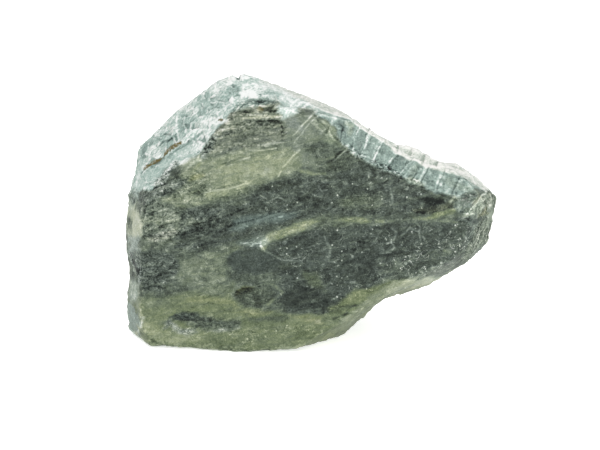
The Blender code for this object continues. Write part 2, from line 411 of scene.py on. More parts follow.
    "yellowToe": (0.5, 3, {"olive": 1, "warm": 0.1},
        [(328, 308, 2), (344, 302, 4), (358, 296, 6), (376, 290, 5), (386, 284, 2)]),
    "creamBit": (0.64, 2, {"olive": 0.7, "warm": 0.3}, [(309, 320, 1.5), (321, 321, 2.5)]),
    "toeGreen": (0.43, 3, {"olive": 0.9}, [(331, 312, 2), (342, 309, 4), (354, 307, 3)]),
    "toeStroke": (0.27, 1.5, {"olive": 0.5}, [(332, 306.5, 0.5), (340, 305.5, 1), (348, 305, 0.5)]),
    "toeStrokeTwo": (0.25, 1.5, {"olive": 0.4}, [(334, 319, 0.5), (344, 316, 1), (350, 313, 1.2)]),
    "toeStrokeThree": (0.3, 1.5, {"olive": 0.5}, [(351, 308, 1), (358, 307, 1)]),
    # under the overhang
    "underBevel": (0.55, 2, {"pits": 0.1, "leafy": 0.25, "olive": 0.6, "fresh": 0, "warm": 0.1,
        "fleck": 0.35, "speck": 0.15, "crust": 0.1},
        [(330, 352), (338, 334), (345, 320), (356, 312), (363, 302), (372, 294), (384, 286), (392, 281),
        (425, 280), (440, 277), (462, 262), (500, 262), (400, 360)]),
    "underFoot": (0.6, 3, {"olive": 0.9, "warm": 0.1}, [(300, 352, 5), (322, 346, 6), (334, 338, 4)]),
    "underRight": (0.72, 2, {"leafy": 0.3, "olive": 0.05, "warm": 0.4, "fleck": 0.6},
        [(440, 282, 4), (452, 274, 4), (468, 262, 4)]),
    "underLip": (0.61, 1.5, {"olive": 0.6, "fleck": 0.3, "leafy": 0, "crust": 0.2},
        [(390, 290, 5), (408, 285, 5)]),
    "underLipTwo": (0.72, 2.5, {"olive": 0.5, "fleck": 0.3, "leafy": 0, "crust": 0.4},
        [(416, 283, 5), (428, 281, 4), (438, 279, 2)]),
    # the left edge
    "leftPale": (0.56, 4, {"olive": 0.4, "fleck": 1.2}, [(146, 222, 4), (160, 222, 6), (176, 218, 4)]),
    "leftDark": (0.34, 3, {"olive": 0.05, "fleck": 1.2}, [(182, 216, 3), (192, 212, 4), (204, 209, 3)]),
    "leftRim": (0.58, 2.5, {"olive": 0.1, "fresh": 0.3, "fleck": 1, "pits": 0.7, "leafy": 1.3,
        "crust": 0.5},
        [(130, 186, 4), (129, 206, 4)]),
    "leftCream": (0.77, 3, {"olive": 0.55, "leafy": 0, "fleck": 0.3, "pits": 0, "crust": 0.2},
        [(132, 208, 4), (135, 222, 6.5), (134, 233, 5)]),
    "leftGrey": (0.71, 3, {"olive": 0, "fresh": 0.3, "leafy": 0.6, "pits": 0.5},
        [(133, 240, 4), (134, 256, 4)]),
    "leftMarks": (0.44, 2, {"olive": 0.05, "fresh": 0.3, "leafy": 1.6, "pits": 2.2, "crust": 1.1},
        [(134, 256, 3), (136, 268, 3.5), (138, 281, 3)]),
    "leftLow": (0.67, 3, {"olive": 0.3, "fresh": 0.3, "leafy": 0.7, "crust": 0.4},
        [(133, 284, 4), (134, 298, 4)]),
    "leftCorner": (0.6, 2.5, {"olive": 0, "fresh": 0.5, "crust": 0.3},
        [(126, 300), (133, 304), (138, 325), (144, 345), (126, 345)]),
    "cornerEdge": (0.6, 2, {"olive": 0.4, "crust": 0.6},
        [(139, 303, 1.5), (141, 318, 2), (139, 330, 2), (146, 341, 1)]),
    "leftTop": (0.66, 3, {"fresh": 0.6, "olive": 0.1, "pits": 0.8, "crust": 0.8, "leafy": 0.6},
        [(131, 172, 3), (131, 186, 4), (138, 196, 3)]),
    # the ledges below the peak
    "underShoulder": (0.44, 4, {"olive": 0.1, "pits": 1.1, "crust": 0.5, "fleck": 1.4},
        [(142, 192), (156, 188), (180, 176), (188, 180), (168, 196), (150, 206), (138, 204)]),
    "ledges": (0.595, 3, {"olive": 0.25, "warm": 0.15, "fleck": 0.9, "ledge": 1, "speck": 0.2,
        "crust": 0.2, "pits": 0.35},
        [(222, 120), (240, 104), (262, 98), (278, 100), (286, 118), (288, 142), (262, 146), (240, 150),
        (208, 156), (198, 160), (206, 146), (212, 132)]),
    "ledgesFoot": (0.5, 3, {"ledge": 0.35, "warm": 0.2, "olive": 0.2},
        [(214, 147, 3), (232, 140, 5), (256, 136, 6), (280, 137, 4)]),
    "ledgeShadow": (0.45, 1.8, {"olive": 0.5, "pits": 1.2},
        [(246, 103, 0.5), (252, 101, 1.5), (262, 102, 1.2), (268, 101, 0.5)]),
    "ledgeCream": (0.83, 2, {"olive": 0.5, "crust": 0.6},
        [(244, 108, 0.5), (254, 106, 1.5), (268, 106, 1)]),
    "ledgeCreamLeft": (0.67, 2.5, {"olive": 0.3, "crust": 0.8, "pits": 0.8},
        [(226, 118, 2), (234, 110, 2.5), (242, 104, 1.5)]),
    "ledgeRusty": (0.58, 2, {"warm": 0.9}, [(259, 108, 1), (263, 111, 2)]),
    "ledgeShadowTwo": (0.39, 1.5, {"olive": 0.3}, [(236, 114, 1), (244, 112, 1.6), (254, 112, 1.2)]),
    "ledgeShadowThree": (0.38, 1.5, {"olive": 0.3, "pits": 1},
        [(265, 110, 1.5), (273, 110, 2), (280, 113, 1)]),
    "ledgePale": (0.64, 1.5, {"olive": 0.5}, [(240, 118, 1), (256, 118, 1.5), (282, 117, 1)]),
    "ledgeShadowFour": (0.36, 2, {"olive": 0.2, "pits": 0.8},
        [(253, 123, 1.5), (268, 123, 2.5), (282, 123, 1.5)]),
    "ledgeShadowFive": (0.4, 2, {"olive": 0.1, "pits": 0.9}, [(222, 133, 1), (232, 132, 2), (242, 130, 1)]),
    "ledgeShadowSix": (0.42, 2, {"pits": 1.2}, [(283, 126, 1.5), (284, 134, 2.5), (282, 140, 1)]),
    # the freshly broken shoulder and peak
    "shoulderFresh": (0.8, 2, {"olive": 0, "fresh": 1, "fleck": 0.4, "speck": 0, "ledge": 0,
        "splinter": 1, "leafy": 0, "warm": 0, "pits": 0, "crust": 0.3},
        [(126, 190), (151, 190), (163, 176), (178, 165), (200, 154), (206, 142), (217, 128), (229, 114),
        (240, 101), (254, 97), (262, 70), (236, 60), (110, 140)]),
    "shoulderLower": (0.8, 2, {"fleck": 0.45, "splinter": 0.5, "crust": 0.2},
        [(138, 190), (141, 174), (158, 167), (164, 156), (178, 148), (198, 147), (188, 160), (172, 168),
        (162, 176), (152, 190)]),
    "topUnderPeak": (0.9, 3, {"fleck": 0.6, "olive": 0, "fresh": 1, "speck": 0, "ledge": 0,
        "splinter": 0.6, "warm": 0, "pits": 0},
        [(240, 66), (320, 90), (318, 106), (300, 108), (284, 120), (276, 99), (250, 97), (236, 84)]),
    "shoulderTeal": (0.75, 1.5, {},
        [(198, 108), (203, 100), (216, 95), (224, 92), (230, 96), (227, 104), (216, 109), (209, 115),
        (200, 118)]),
    "shoulderTealTwo": (0.66, 1.5, {}, [(226, 90), (232, 85), (239, 87), (240, 93), (230, 96)]),
    "shoulderTealThree": (0.63, 1.5, {},
        [(156, 137), (163, 133), (173, 133), (175, 139), (168, 142), (159, 141)]),
    "shoulderTealFour": (0.7, 1.5, {},
        [(179, 117), (184, 114), (189, 116), (188, 122), (182, 131), (179, 129)]),
    "shoulderTealFive": (0.68, 1.5, {},
        [(139, 150), (145, 143), (152, 138), (154, 143), (150, 148), (146, 156), (141, 160)]),
    "shoulderBlue": (0.84, 2, {},
        [(186, 135), (196, 129), (209, 127), (211, 135), (206, 143), (201, 155), (190, 151)]),
    "shoulderPink": (0.84, 1.5, {"fresh": 0.85},
        [(145, 154), (150, 147), (164, 143), (165, 150), (160, 156), (148, 161), (143, 164)]),
    "shoulderPinkTwo": (0.87, 1.5, {"fresh": 0.85},
        [(176, 109), (181, 105), (198, 108), (196, 117), (184, 114)]),
    "shoulderPinkThree": (0.89, 1.5, {"fresh": 0.85},
        [(209, 90), (220, 83), (230, 77), (236, 79), (231, 84), (222, 90), (215, 93)]),
    "shoulderWhite": (0.93, 1.5, {"crust": 0.6},
        [(200, 122), (208, 118), (222, 117), (228, 121), (216, 125), (206, 125)]),
    "shoulderStreak": (0.88, 1.5, {}, [(150, 132, 1), (160, 128, 1.5), (168, 121, 1)]),
    "shoulderStreakTwo": (0.9, 1.5, {}, [(216, 112, 1), (226, 106, 1.5), (236, 98, 1)]),
    "shoulderStreakThree": (0.68, 1.5, {}, [(180, 132, 1), (186, 126, 2), (194, 120, 1)]),
    "shoulderWhiteTwo": (0.97, 1.5, {}, [(177, 163), (182, 160), (193, 158), (190, 163), (181, 165)]),
    "shoulderCream": (0.72, 3, {"fresh": 0.2, "olive": 0.7, "splinter": 0},
        [(184, 166, 1), (192, 161, 3), (199, 158, 3)]),
    "shoulderWhiteThree": (0.84, 2, {}, [(203, 130, 1.5), (214, 120, 2)]),
    "peakTeal": (0.78, 2.5, {}, [(240, 84, 2), (250, 80, 3), (262, 84, 2)]),
    "peakTealTwo": (0.76, 2.5, {}, [(258, 94, 2), (268, 92, 3), (278, 96, 3)]),
    "peakWhite": (1, 1.5, {}, [(240, 92), (247, 89), (255, 91), (257, 98), (248, 98), (241, 97)]),
    "peakRim": (0.92, 2, {"fresh": 0.6}, [(262, 82, 2), (278, 89, 3), (296, 97, 2)]),
    "peakBand": (0.9, 2.5, {"crust": 0.5}, [(303, 99, 2), (297, 105, 3), (290, 111, 2)]),
    "peakGrey": (0.76, 2, {}, [(300, 98, 1), (303, 101, 2)]),
    "besideLedges": (0.74, 2, {}, [(280, 104, 3), (287, 108, 3)]),
    "ledgeFoot": (0.84, 1, {"pits": 0}, [(252, 144.5, 0.5), (268, 144.5, 1), (287, 143.5, 0.6)]),
    # the strip along the top, and stippled stone at the foot of the shoulder
    "topStrip": (0.89, 1.5, {"crust": 0.4, "olive": 0, "fresh": 0.3, "fleck": 0.4, "speck": 0,
        "leafy": 0.6, "splinter": 0, "pits": 0, "warm": 0.1},
        [(250, 66), (296, 80), (330, 94), (365, 112), (400, 132), (430, 146), (470, 160), (505, 196),
        (489, 194), (474, 186), (456, 176), (425, 168), (392, 151), (368, 133), (350, 120), (320, 109),
        (296, 97), (262, 80)]),
    "rockFaceEdge": (0.76, 2, {"crust": 0.8}, [(286, 118, 1), (298, 108, 2), (312, 108, 1.5)]),
    # the dark stipple in these two is painted shade of the broken rim, given through pits
    "stippledRim": (0.48, 3, {"fresh": 0.3, "olive": 0, "pits": 2.6, "crust": 1.4, "splinter": 0},
        [(214, 138, 3), (209, 148, 4), (203, 156, 3)]),
    "stippledFoot": (0.79, 3, {"fresh": 0.3, "olive": 0, "pits": 2.6, "crust": 1.4, "splinter": 0},
        [(176, 164, 3), (167, 174, 4), (156, 184, 3)]),
    # the bevel below the ridge
    "ridgeBevel": (0.63, 1.5, {"olive": 0.15, "fresh": 0.8, "warm": 0, "fleck": 0.8, "speck": 0,
        "leafy": 0, "splinter": 0.3, "pits": 0, "crust": 0.15},
        [(314, 108), (350, 119), (368, 132), (392, 150), (425, 167), (456, 175), (470, 183), (484, 191),
        (474, 192), (464, 195), (448, 196), (435, 194), (420, 186), (409, 183), (400, 176), (388, 171),
        (375, 166), (366, 159), (356, 155), (349, 152), (343, 141), (332, 127), (320, 118)]),
    "bevelStart": (0.74, 2.5, {"crust": 0.5}, [(318, 111, 2), (330, 116, 3), (338, 121, 3)]),
    "bevelGreen": (0.66, 3, {"fresh": 0.5, "olive": 0.7}, [(346, 124, 2), (352, 126, 4), (352, 132, 3)]),
    "bevelBlock": (0.51, 2.5, {}, [(338, 122, 2), (342, 128, 4), (346, 136, 3)]),
    "bevelBlockTwo": (0.565, 2.5, {}, [(362, 132, 2), (360, 139, 4), (358, 146, 2)]),
    "bevelBlockThree": (0.65, 2, {}, [(374, 140, 3), (370, 148, 3.5), (367, 153, 2)]),
    "bevelBlockFour": (0.66, 2, {}, [(389, 149, 3), (385, 155, 4), (381, 160, 2.5)]),
    "bevelBlockFive": (0.6, 2, {}, [(404, 158, 3), (400, 163, 4), (396, 168, 3)]),
    "bevelLined": (0.66, 2.5, {"fresh": 0.6, "olive": 0.4}, [(417, 167, 3), (412, 173, 3), (410, 178, 2)]),
    "bevelBlockSix": (0.58, 2.5, {}, [(434, 172, 3), (430, 178, 4), (427, 183, 2)]),
    "bevelBlockSeven": (0.65, 3, {"olive": 0.4, "fresh": 0.6},
        [(450, 180, 4), (456, 185, 5), (470, 189, 3)]),
    "bevelFoot": (0.63, 2, {"crust": 1.5, "pits": 2}, [(347, 145, 2), (353, 153, 3), (365, 157, 3)]),
    "bevelFootMid": (0.5, 2, {"crust": 2, "pits": 2}, [(376, 163, 3), (392, 170, 3), (402, 175, 2)]),
    "bevelFootTwo": (0.66, 2, {"olive": 0.6, "fresh": 0.4, "crust": 1.8, "pits": 1.6},
        [(408, 179, 2.5), (416, 182, 3), (422, 185, 1.5)]),
    "bevelPink": (0.8, 2, {"fresh": 0.7}, [(440, 183, 1.5), (445, 187, 2.5), (449, 190, 1.5)]),
    # the pointed end
    "tipWedge": (0.5, 1, {"fresh": 0.3, "olive": 0.15, "fleck": 0.5, "splinter": 0.6, "leafy": 0,
        "pits": 0.3},
        [(455, 201), (459, 196), (467, 192), (474, 189), (481, 190), (486, 193), (479, 200), (470, 210),
        (464, 214), (456, 208)]),
    "tipWedgeBrown": (0.53, 2, {"warm": 0.5, "olive": 0.3},
        [(478, 192, 1), (480, 197, 2), (474, 203, 1.5)]),
    "tipBlob": (0.66, 1.5, {"fresh": 0.3, "warm": 0.3, "crust": 0.8}, [(452, 203, 1.5), (456, 199, 2)]),
    "tipPale": (0.57, 1.5, {"fresh": 0.4, "olive": 0.55, "crust": 1.2, "pits": 0.9, "leafy": 0.3,
        "splinter": 0},
        [(487, 192), (494, 198), (492, 206), (482, 212), (468, 215), (463, 217), (472, 208)]),
    "tipEnd": (0.47, 1.5, {"olive": 0.35, "fresh": 0.3, "fleck": 1, "leafy": 1.3, "splinter": 0,
        "speck": 0, "warm": 0.15},
        [(489, 190), (500, 190), (500, 225), (462, 268), (455, 270), (463, 257), (471, 244), (478, 228),
        (480, 212)]),
    "tipMoss": (0.5, 1.5, {"olive": 0.7, "fresh": 0.1, "warm": 0.4, "pits": 1, "crust": 0.6},
        [(480, 216, 2), (485, 212, 2.5), (487, 206, 1.5)]),
    "tipRim": (0.45, 1, {"olive": 0.2, "warm": 0.3},
        [(491, 191, 1), (496, 197, 1.2), (497, 208, 1.2), (494, 222, 1), (488, 238, 1)]),
    "tipSide": (0.62, 1.5, {"olive": 0.2, "warm": 0.2, "fleck": 0.4, "leafy": 0.3},
        [(490, 206, 2), (489, 216, 2), (486, 226, 2)]),
    "tipNook": (0.36, 1.5, {"olive": 0, "leafy": 0, "pits": 0.8},
        [(460, 221, 1.5), (470, 219, 3), (478, 221, 2)]),
}

# Slightly slanting steps across the ridge bevel, each from its top to its foot.
ridgeSteps = [
    ((335, 112), (328, 126)), ((346, 116), (342, 138)), ((360, 126), (352, 146)), ((369, 131), (362, 152)),
    ((382, 141), (372, 161)), ((397, 152), (384, 168)), ((412, 160), (397, 176)), ((423, 166), (412, 181)),
    ((430, 168), (420, 186)), ((446, 170), (437, 192)), ((462, 174), (452, 196)),
]

# Edges that are worn round, by half-width.
roundedEdges = {
    "leftEdge": [[(138, 196, 5), (137, 230, 6), (137, 262, 6), (138, 298, 4)]],
    "tipEdge": [[(476, 206, 2), (474, 226, 6), (468, 244, 6), (458, 262, 5)]],
    "footEdge": [
        [(330, 330, 6), (345, 318, 8), (362, 304, 8), (384, 292, 8), (410, 284, 6), (440, 274, 5),
        (460, 262, 4)],
    ],
}

# Thin lines on the same facets: pale green veins, soft pale bars (on the bevel, painted highlight on its step
# risers), white scratches and cleavage edges, dark lines (painted shadow under ledges, lips and rims, and
# dark marks in the stone), open cracks darkened with painted shade, bumps and dents in the outline, and rusty
# stains.
frontLines = {
    "vein": {
        "mainVein": [
            [(263, 248, 3), (264, 241, 3.5), (270, 236.5, 4), (280, 233.5, 4.5), (292, 229.5, 4.5),
            (303, 226, 4.5), (311, 223, 3), (319, 222.5, 0.8)],
            [(334, 221, 0.5), (345, 220, 2), (357, 219.5, 2.8), (366, 220.5, 2.8), (371, 222, 1)],
            [(376, 221, 1.5), (382, 221.5, 2), (384, 222, 0.5)], [(387, 221, 0.8), (393, 221, 0.6)],
        ],
        "veinEnd": [
            [(414, 219, 0.8), (426, 218, 1.6), (436, 215, 2.4), (450, 211, 1.6), (462, 208, 0.6)],
            [(440, 221, 0.4), (450, 221, 1), (458, 222, 0.4)],
        ],
        "ovalArc": [[(267, 282, 0.3), (276, 286, 0.9), (283, 292, 1.1), (276, 298, 0.6), (268, 304, 1.4)]],
        "upperWisp": [[(300, 171, 0.8), (312, 174, 1.8), (325, 174, 1.2), (331, 177, 0.3)]],
        "fieldBlob": [[(444, 250, 1.4), (450, 251, 1.8)]],
    },
    "bar": {
        # pale bars on the bevel's step risers: painted highlight where the risers face the light
        "bevelRiserHighlights": [
            [(336, 114, 2), (331, 124, 1.4)], [(359, 128, 2), (354, 138, 1.4)],
            [(369, 136, 1.8), (362, 149, 1.2)], [(381, 142, 2.2), (376, 151, 1.8), (373, 160, 1.4)],
            [(395, 153, 1.6), (391, 159, 1.6), (386, 165, 1.2)], [(427, 168, 1.6), (420, 180, 1.2)],
            [(442, 174, 1.6), (437, 186, 1)],
        ],
        "fieldWisps": [
            [(324, 236, 0.5), (330, 248, 0.8), (329, 260, 0.4)],
            [(390, 188, 0.3), (392, 198, 0.8), (394, 206, 0.3)],
            [(386, 244, 0.3), (394, 240, 0.7), (396, 232, 0.4), (392, 228, 0.2)],
            [(376, 246, 0.3), (386, 252, 0.6), (396, 248, 0.3)],
            [(400, 236, 0.2), (410, 228, 0.6), (418, 232, 0.3), (420, 240, 0.2)],
        ],
        "facetWeb": [
            [(322, 122, 0.3), (326, 128, 0.6), (332, 136, 0.4)], [(326, 128, 0.4), (320, 134, 0.2)],
        ],
        "shoulderRib": [[(177, 116, 0.3), (177, 128, 0.5), (178, 142, 0.3)]],
    },
    "scratch": {
        "tipLines": [
            [(486, 192, 0.9), (479, 200, 0.8), (470, 211, 0.9), (463, 219, 0.4)],
            [(484, 225, 0.4), (478, 238, 0.5), (472, 250, 0.3)],
            [(488, 214, 0.3), (485, 228, 0.5), (478, 244, 0.4), (473, 254, 0.2)],
            [(473, 213, 0.3), (467, 217, 0.6), (463, 219, 0.3)],
            [(490, 194, 0.8), (492, 200, 0.8), (489, 208, 0.3)],
            [(482, 224, 0.1), (476, 238, 0.4), (468, 251, 0.2)],
            [(487, 222, 0.1), (482, 238, 0.3), (477, 249, 0.2)],
        ],
        "leftFray": [[(131, 258, 0.1), (134, 270, 0.5), (139, 284, 0.2)]],
        "peakLines": [
            [(309, 97, 0.2), (300, 104, 0.6), (292, 112, 0.2)],
            [(303, 96, 0.2), (295, 102, 0.5), (288, 108, 0.2)],
            [(314, 99, 0.1), (306, 105, 0.5), (300, 111, 0.2)],
        ],
        "ledgeLines": [
            [(241, 119, 0.2), (258, 118, 0.6), (282, 117.5, 0.4)],
            [(220, 130, 0.4), (226, 129, 0.8), (234, 128, 0.3)],
            [(243, 115, 0.2), (262, 115.5, 0.4), (279, 117, 0.2)], [(256, 105, 0.3), (265, 106, 0.5)],
            [(219, 131, 0.6), (230, 129.5, 0.6), (243, 126, 0.3)],
            [(233, 116, 0.3), (238, 109, 0.8), (245, 101, 0.5)],
            [(246, 149, 0.2), (262, 150, 0.5), (276, 148, 0.2)],
        ],
        "bandCurls": [
            [(268, 202, 0.2), (278, 197, 0.6), (287, 201, 0.3)],
            [(318, 186, 0.1), (321, 192, 0.2), (327, 190, 0.1)],
            [(321, 208, 0.1), (326, 209.5, 0.2), (332, 207, 0.1)],
            [(328, 181, 0.1), (332, 182, 0.2), (335, 179, 0.1)],
        ],
        "fieldForks": [
            [(379, 233, 0.1), (374, 241, 0.5), (367, 242, 0.1)], [(374, 241, 0.3), (370, 246, 0.1)],
        ],
        "fieldCurls": [
            [(392, 236, 0.1), (391, 241, 0.3), (395, 247, 0.3), (391, 252, 0.3), (380, 254, 0.1)],
            [(414, 220, 0.1), (420, 226, 0.3), (419, 234, 0.3)],
        ],
        "fieldDashes": [[(399, 255, 0.1), (411, 256, 0.2)], [(328, 261, 0.1), (337, 263, 0.2)]],
        "whiteBlobs": [
            [(351, 282.5, 1), (355, 282.5, 1.3)], [(345, 282, 0.5), (347, 282.5, 0.5)],
            [(422, 236, 0.8), (424, 238.5, 1)], [(331, 299, 0.5), (336, 297, 0.7)],
            [(252, 301, 0.7), (254, 302, 0.7)], [(285, 241, 0.6), (286, 242, 0.6)],
            [(365, 249.5, 0.6), (368, 250, 0.8)], [(284, 242, 0.7), (285, 243, 0.7)],
            [(463, 235, 0.6), (466, 239, 0.8)],
        ],
        "veinHook": [
            [(260, 239, 0.4), (260, 245, 1.2), (264, 250.5, 0.8), (272, 254.5, 0.3), (278, 257.5, 0.4),
            (285, 260.5, 0.4), (293, 260.5, 0.1)],
            [(242, 243, 0.4), (247, 243.5, 0.8), (252, 245, 0.6), (260, 241, 0.3)],
        ],
        "flashes": [
            [(279, 216.5, 0.4), (283, 215.5, 0.5)], [(239, 227, 0.3), (248, 226, 0.4)],
            [(158, 212, 0.4), (166, 209, 0.4)],
        ],
        "lensEdges": [
            [(230, 163, 0.3), (240, 160, 0.6), (249, 157, 0.4)],
            [(204, 193, 0.2), (214, 191, 0.6), (226, 189.5, 0.3), (238, 186, 0.4), (251, 182, 0.2)],
        ],
        "facetEdges": [
            [(317, 111, 1), (304, 124, 0.7), (293, 136, 0.4)],
            [(318, 116, 0.4), (305, 129, 0.3), (294, 143, 0.1)],
            [(300, 150, 0.9), (293, 156, 0.6), (282, 168, 0.1)], [(280, 172, 0.6), (278, 177, 0.3)],
            [(346, 149, 0.5), (340, 155, 0.5), (333, 161, 0.1)],
        ],
        "ridgeRim": [
            [(316, 108, 0.3), (350, 119, 0.8), (380, 140, 0.5), (400, 153, 0.6), (425, 165, 1),
            (452, 168, 0.8), (470, 178, 0.4)],
        ],
        "bevelLines": [[(411, 161, 0.5), (398, 175, 0.5)], [(414, 163, 0.2), (405, 175, 0.2)]],
        "cornerLine": [[(139, 303, 0.3), (143, 316, 0.5), (139, 332, 0.6)]],
    },
    # dark lines: painted shadow under ledges, lips and rims, and dark marks in the stone
    "shade": {
        "fieldCut": [[(357, 241, 0.2), (364, 242, 0.7), (372, 241, 0.3)]],
        "tipShades": [
            [(456, 177, 0.1), (466, 181, 0.3), (477, 186, 0.1)],
            [(491, 224, 0.2), (489, 231, 0.7), (487, 237, 0.2)],
            [(486, 222, 0.3), (481, 236, 0.6), (475, 249, 0.4)], [(490, 226, 0.6), (488, 236, 0.8)],
            [(482, 222, 0.2), (476, 236, 0.4), (470, 248, 0.2)],
            [(486, 190, 0.3), (477, 199, 0.4), (468, 210, 0.4)],
            [(416, 212.5, 0.3), (428, 213, 0.5), (436, 211, 0.2)],
            [(452, 197, 0.4), (462, 199, 0.4), (474, 196, 0.2)],
        ],
        "footDashes": [
            [(197, 296, 0.1), (204, 296.5, 0.5), (212, 295, 0.5), (220, 294.5, 0.1)],
            [(203, 304.5, 0.1), (209, 303.5, 0.4), (214, 303.5, 0.1)],
            [(244, 331, 0.2), (252, 332, 0.5), (258, 333, 0.2)],
        ],
        "leftHoles": [[(133, 256, 0.3), (136, 268, 0.8), (137, 282, 0.4)]],
        "ovalShade": [[(236, 292, 0.2), (243, 289, 0.8), (252, 288, 0.3)]],
        "lipShades": [
            [(386, 286, 0.1), (392, 280.5, 0.5), (406, 279.5, 0.5), (424, 279, 0.2)],
            [(388, 284, 0.1), (388, 292, 0.3)],
        ],
        "lensShades": [
            [(214, 189, 0.1), (227, 186, 0.5), (238, 183.5, 0.4), (250, 181, 0.1)],
            [(241, 173, 0.4), (242, 173.5, 0.4)], [(184, 190, 0.2), (196, 184, 0.4), (208, 181, 0.2)],
            [(180, 182, 0.2), (190, 176, 0.4), (202, 172, 0.2)],
            [(221, 165.5, 0.4), (226, 164, 1.4), (231, 162.5, 1.2), (242, 159.5, 0.2)],
        ],
        "ledgeShades": [
            [(248, 103, 0.4), (258, 101.5, 0.5), (273, 101.5, 0.3)], [(239, 112, 1), (247, 111.5, 1)],
            [(266, 109.5, 0.8), (274, 107, 1)], [(224, 126, 0.6), (236, 124, 0.8), (246, 122, 0.4)],
            [(248, 122, 0.5), (262, 121, 0.6), (279, 122, 0.4)],
        ],
        "shortCut": [[(345, 148, 0.4), (332, 159, 0.6)]],
        "bandLines": [
            [(226, 226, 0.2), (246, 222, 0.5), (262, 217, 0.6), (280, 211, 0.3)],
            [(186, 226, 0.2), (206, 222, 0.5), (232, 214, 0.5), (250, 206, 0.2)],
        ],
        "leftLines": [
            [(140, 222, 0.3), (158, 218, 0.5), (176, 212, 0.2)],
            [(146, 232, 0.2), (166, 224, 0.4), (182, 219, 0.3)],
        ],
        "barEdges": [
            [(382.5, 144, 0.2), (375, 160, 0.2)], [(398, 155, 0.2), (388, 167, 0.3)],
            [(419, 167, 0.2), (408, 178, 0.3)], [(369, 137, 0.2), (366, 147, 0.3)],
        ],
    },
    "crack": {
        # the relief carves these cracks, and their dark line is painted shade in them
        "shoulderCrack": [
            [(141, 173, 0.4), (147, 167.5, 0.4), (155, 163, 0.5), (161, 159, 0.3), (166, 154.5, 0.8),
            (174, 149, 0.6)],
        ],
        "shoulderFoot": [[(150, 190, 0.5), (158, 186, 0.8), (166, 183, 0.3)]],
    },
    "bump": {
        "heelCorner": [[(130, 326, 0), (138, 336, 2.5), (146, 343, 2.5), (158, 347, 0)]],
        "tipTop": [[(456, 164, 0), (467, 170, 3), (478, 177, 3), (488, 186, 1)]],
        "leftEdge": [[(131, 176, 0), (129, 190, 1.5), (127, 202, 1)]],
        "stripCrest": [[(398, 141, 0), (410, 147, 2), (418, 151, 0)]],
    },
    "dent": {
        "lipDent": [[(368, 317, 0), (377, 308, 2), (386, 301, 1.5), (398, 295, 0)]],
        "leftOfNotch": [[(229, 72, 0.8), (236, 72, 1)]],
        "peakNotch": [[(236.5, 70, 0.7), (237.5, 77, 0.7)]],
        "stripStep": [[(430, 154, 0.5), (438, 157, 1.2), (448, 160, 0.3)]],
        "leftDent": [[(124, 272, 0), (127, 272, 0)]],
    },
    "stain": {
        "crackStains": [
            [(144, 169.5, 0.2), (149, 165, 1), (154, 162, 1.7), (159, 159.5, 1), (163, 157.5, 0.2)],
            [(164, 155.5, 0.2), (168, 151.5, 1.2), (173, 147.5, 1.7), (178, 144.5, 1.1), (182, 142.5, 0.2)],
        ],
        "rimStain": [[(219, 120, 0.4), (222, 119, 0.7)]],
        "ledgeStain": [[(260, 107, 0.1), (263, 110, 0.3)]],
    },
}

# On the back, in mm as seen from behind: leftwards from the middle of the stone, and up from the floor.
backPatches = {
    "backFace": (0.4, 6, {"olive": 0.25, "fresh": 0, "fleck": 1, "speck": 0.7, "leafy": 0},
        [(-96, 8), (96, 8), (96, 80), (60, 104), (30, 118), (-40, 96), (-96, 76)]),
    "backPale": (0.52, 9, {"olive": 0.5, "fleck": 0.7},
        [(-60, 64, 4), (-20, 74, 10), (30, 84, 12), (60, 82, 6)]),
    "backDark": (0.31, 8, {"olive": 0.1, "speck": 1.2},
        [(-70, 44, 8), (-20, 52, 11), (30, 54, 8), (70, 60, 6)]),
    "backOlive": (0.46, 8, {"olive": 0.8, "speck": 0.3}, [(-60, 14, 8), (0, 16, 10), (70, 18, 12)]),
    "backOval": (0.29, 5, {"fleck": 0.5}, [(34, 30, 6), (48, 32, 8)]),
}
backLines = {
    "vein": {
        "backVeins": [
            [(-84, 56, 1), (-50, 58, 2), (-10, 66, 2), (20, 66, 1), (50, 72, 2), (76, 72, 1)],
            [(-10, 38, 0.5), (14, 42, 1.5), (30, 48, 0.5)],
        ],
    },
    "scratch": {
        "backCleft": [[(-36, 88, 0.3), (-12, 92, 0.6), (16, 97, 0.3)]],
    },
    "shade": {
        "backShade": [[(-30, 24, 0.3), (6, 26, 0.6), (26, 25, 0.3)]],
    },
}


# How far marks stray from their drawn shapes, so that their edges run out in wisps along the leaves.
stray = {
    "seed": 6,
    "sizes": {8.0: 0.5, 3.0: 0.3, 1.2: 0.2},  # wisps by their size in mm, with the share of each
    "stretch": 2.2,  # how much longer they are than high
    "splinters": 0.7,  # the share that fully splintered stone takes off, as its marks are crisper
    # the largest distances across and up, in pixels, and at the back in mm
    "patches": (11.0, 5.0),
    "backPatches": (9.0, 5.0),
    "lines": (2.4, 2.4),
    "backLines": (3.0, 3.0),
    "steps": (2.0, 2.0),
}
lineReach = 6.0  # pixels, or mm at the back, beyond which nothing of a line is left

# Where each side of the stone begins and where it is complete, by how squarely a facet looks that way.
sides = {
    "seen": (-0.03, 0.07),
    "behind": (0.5, 0.8),
    "upward": (0.3, 0.6),
    "edgeOn": (0.8, 0.5),
}
seenBlur = 12  # rounds in which the rim of the seen side is softened
# How the stone looks where nothing is marked: all over, and what the top, the sides and the foot add.
plainStone = {
    "tone": (0.42, 0.40, 0.08, 0.05),
    "olive": (0.25, 0, 0, 0.5),
    "warm": (0, 0, 0.1, 0),
    "fleck": (1, 0, 0, 0),
    "speck": (0.4, 0, 0, 0),
    "crust": (0, 0.3, 0, 0),
    "pits": (0, 0, 0.4, 0),
    "ledge": (0, 0, 0, 0),
}
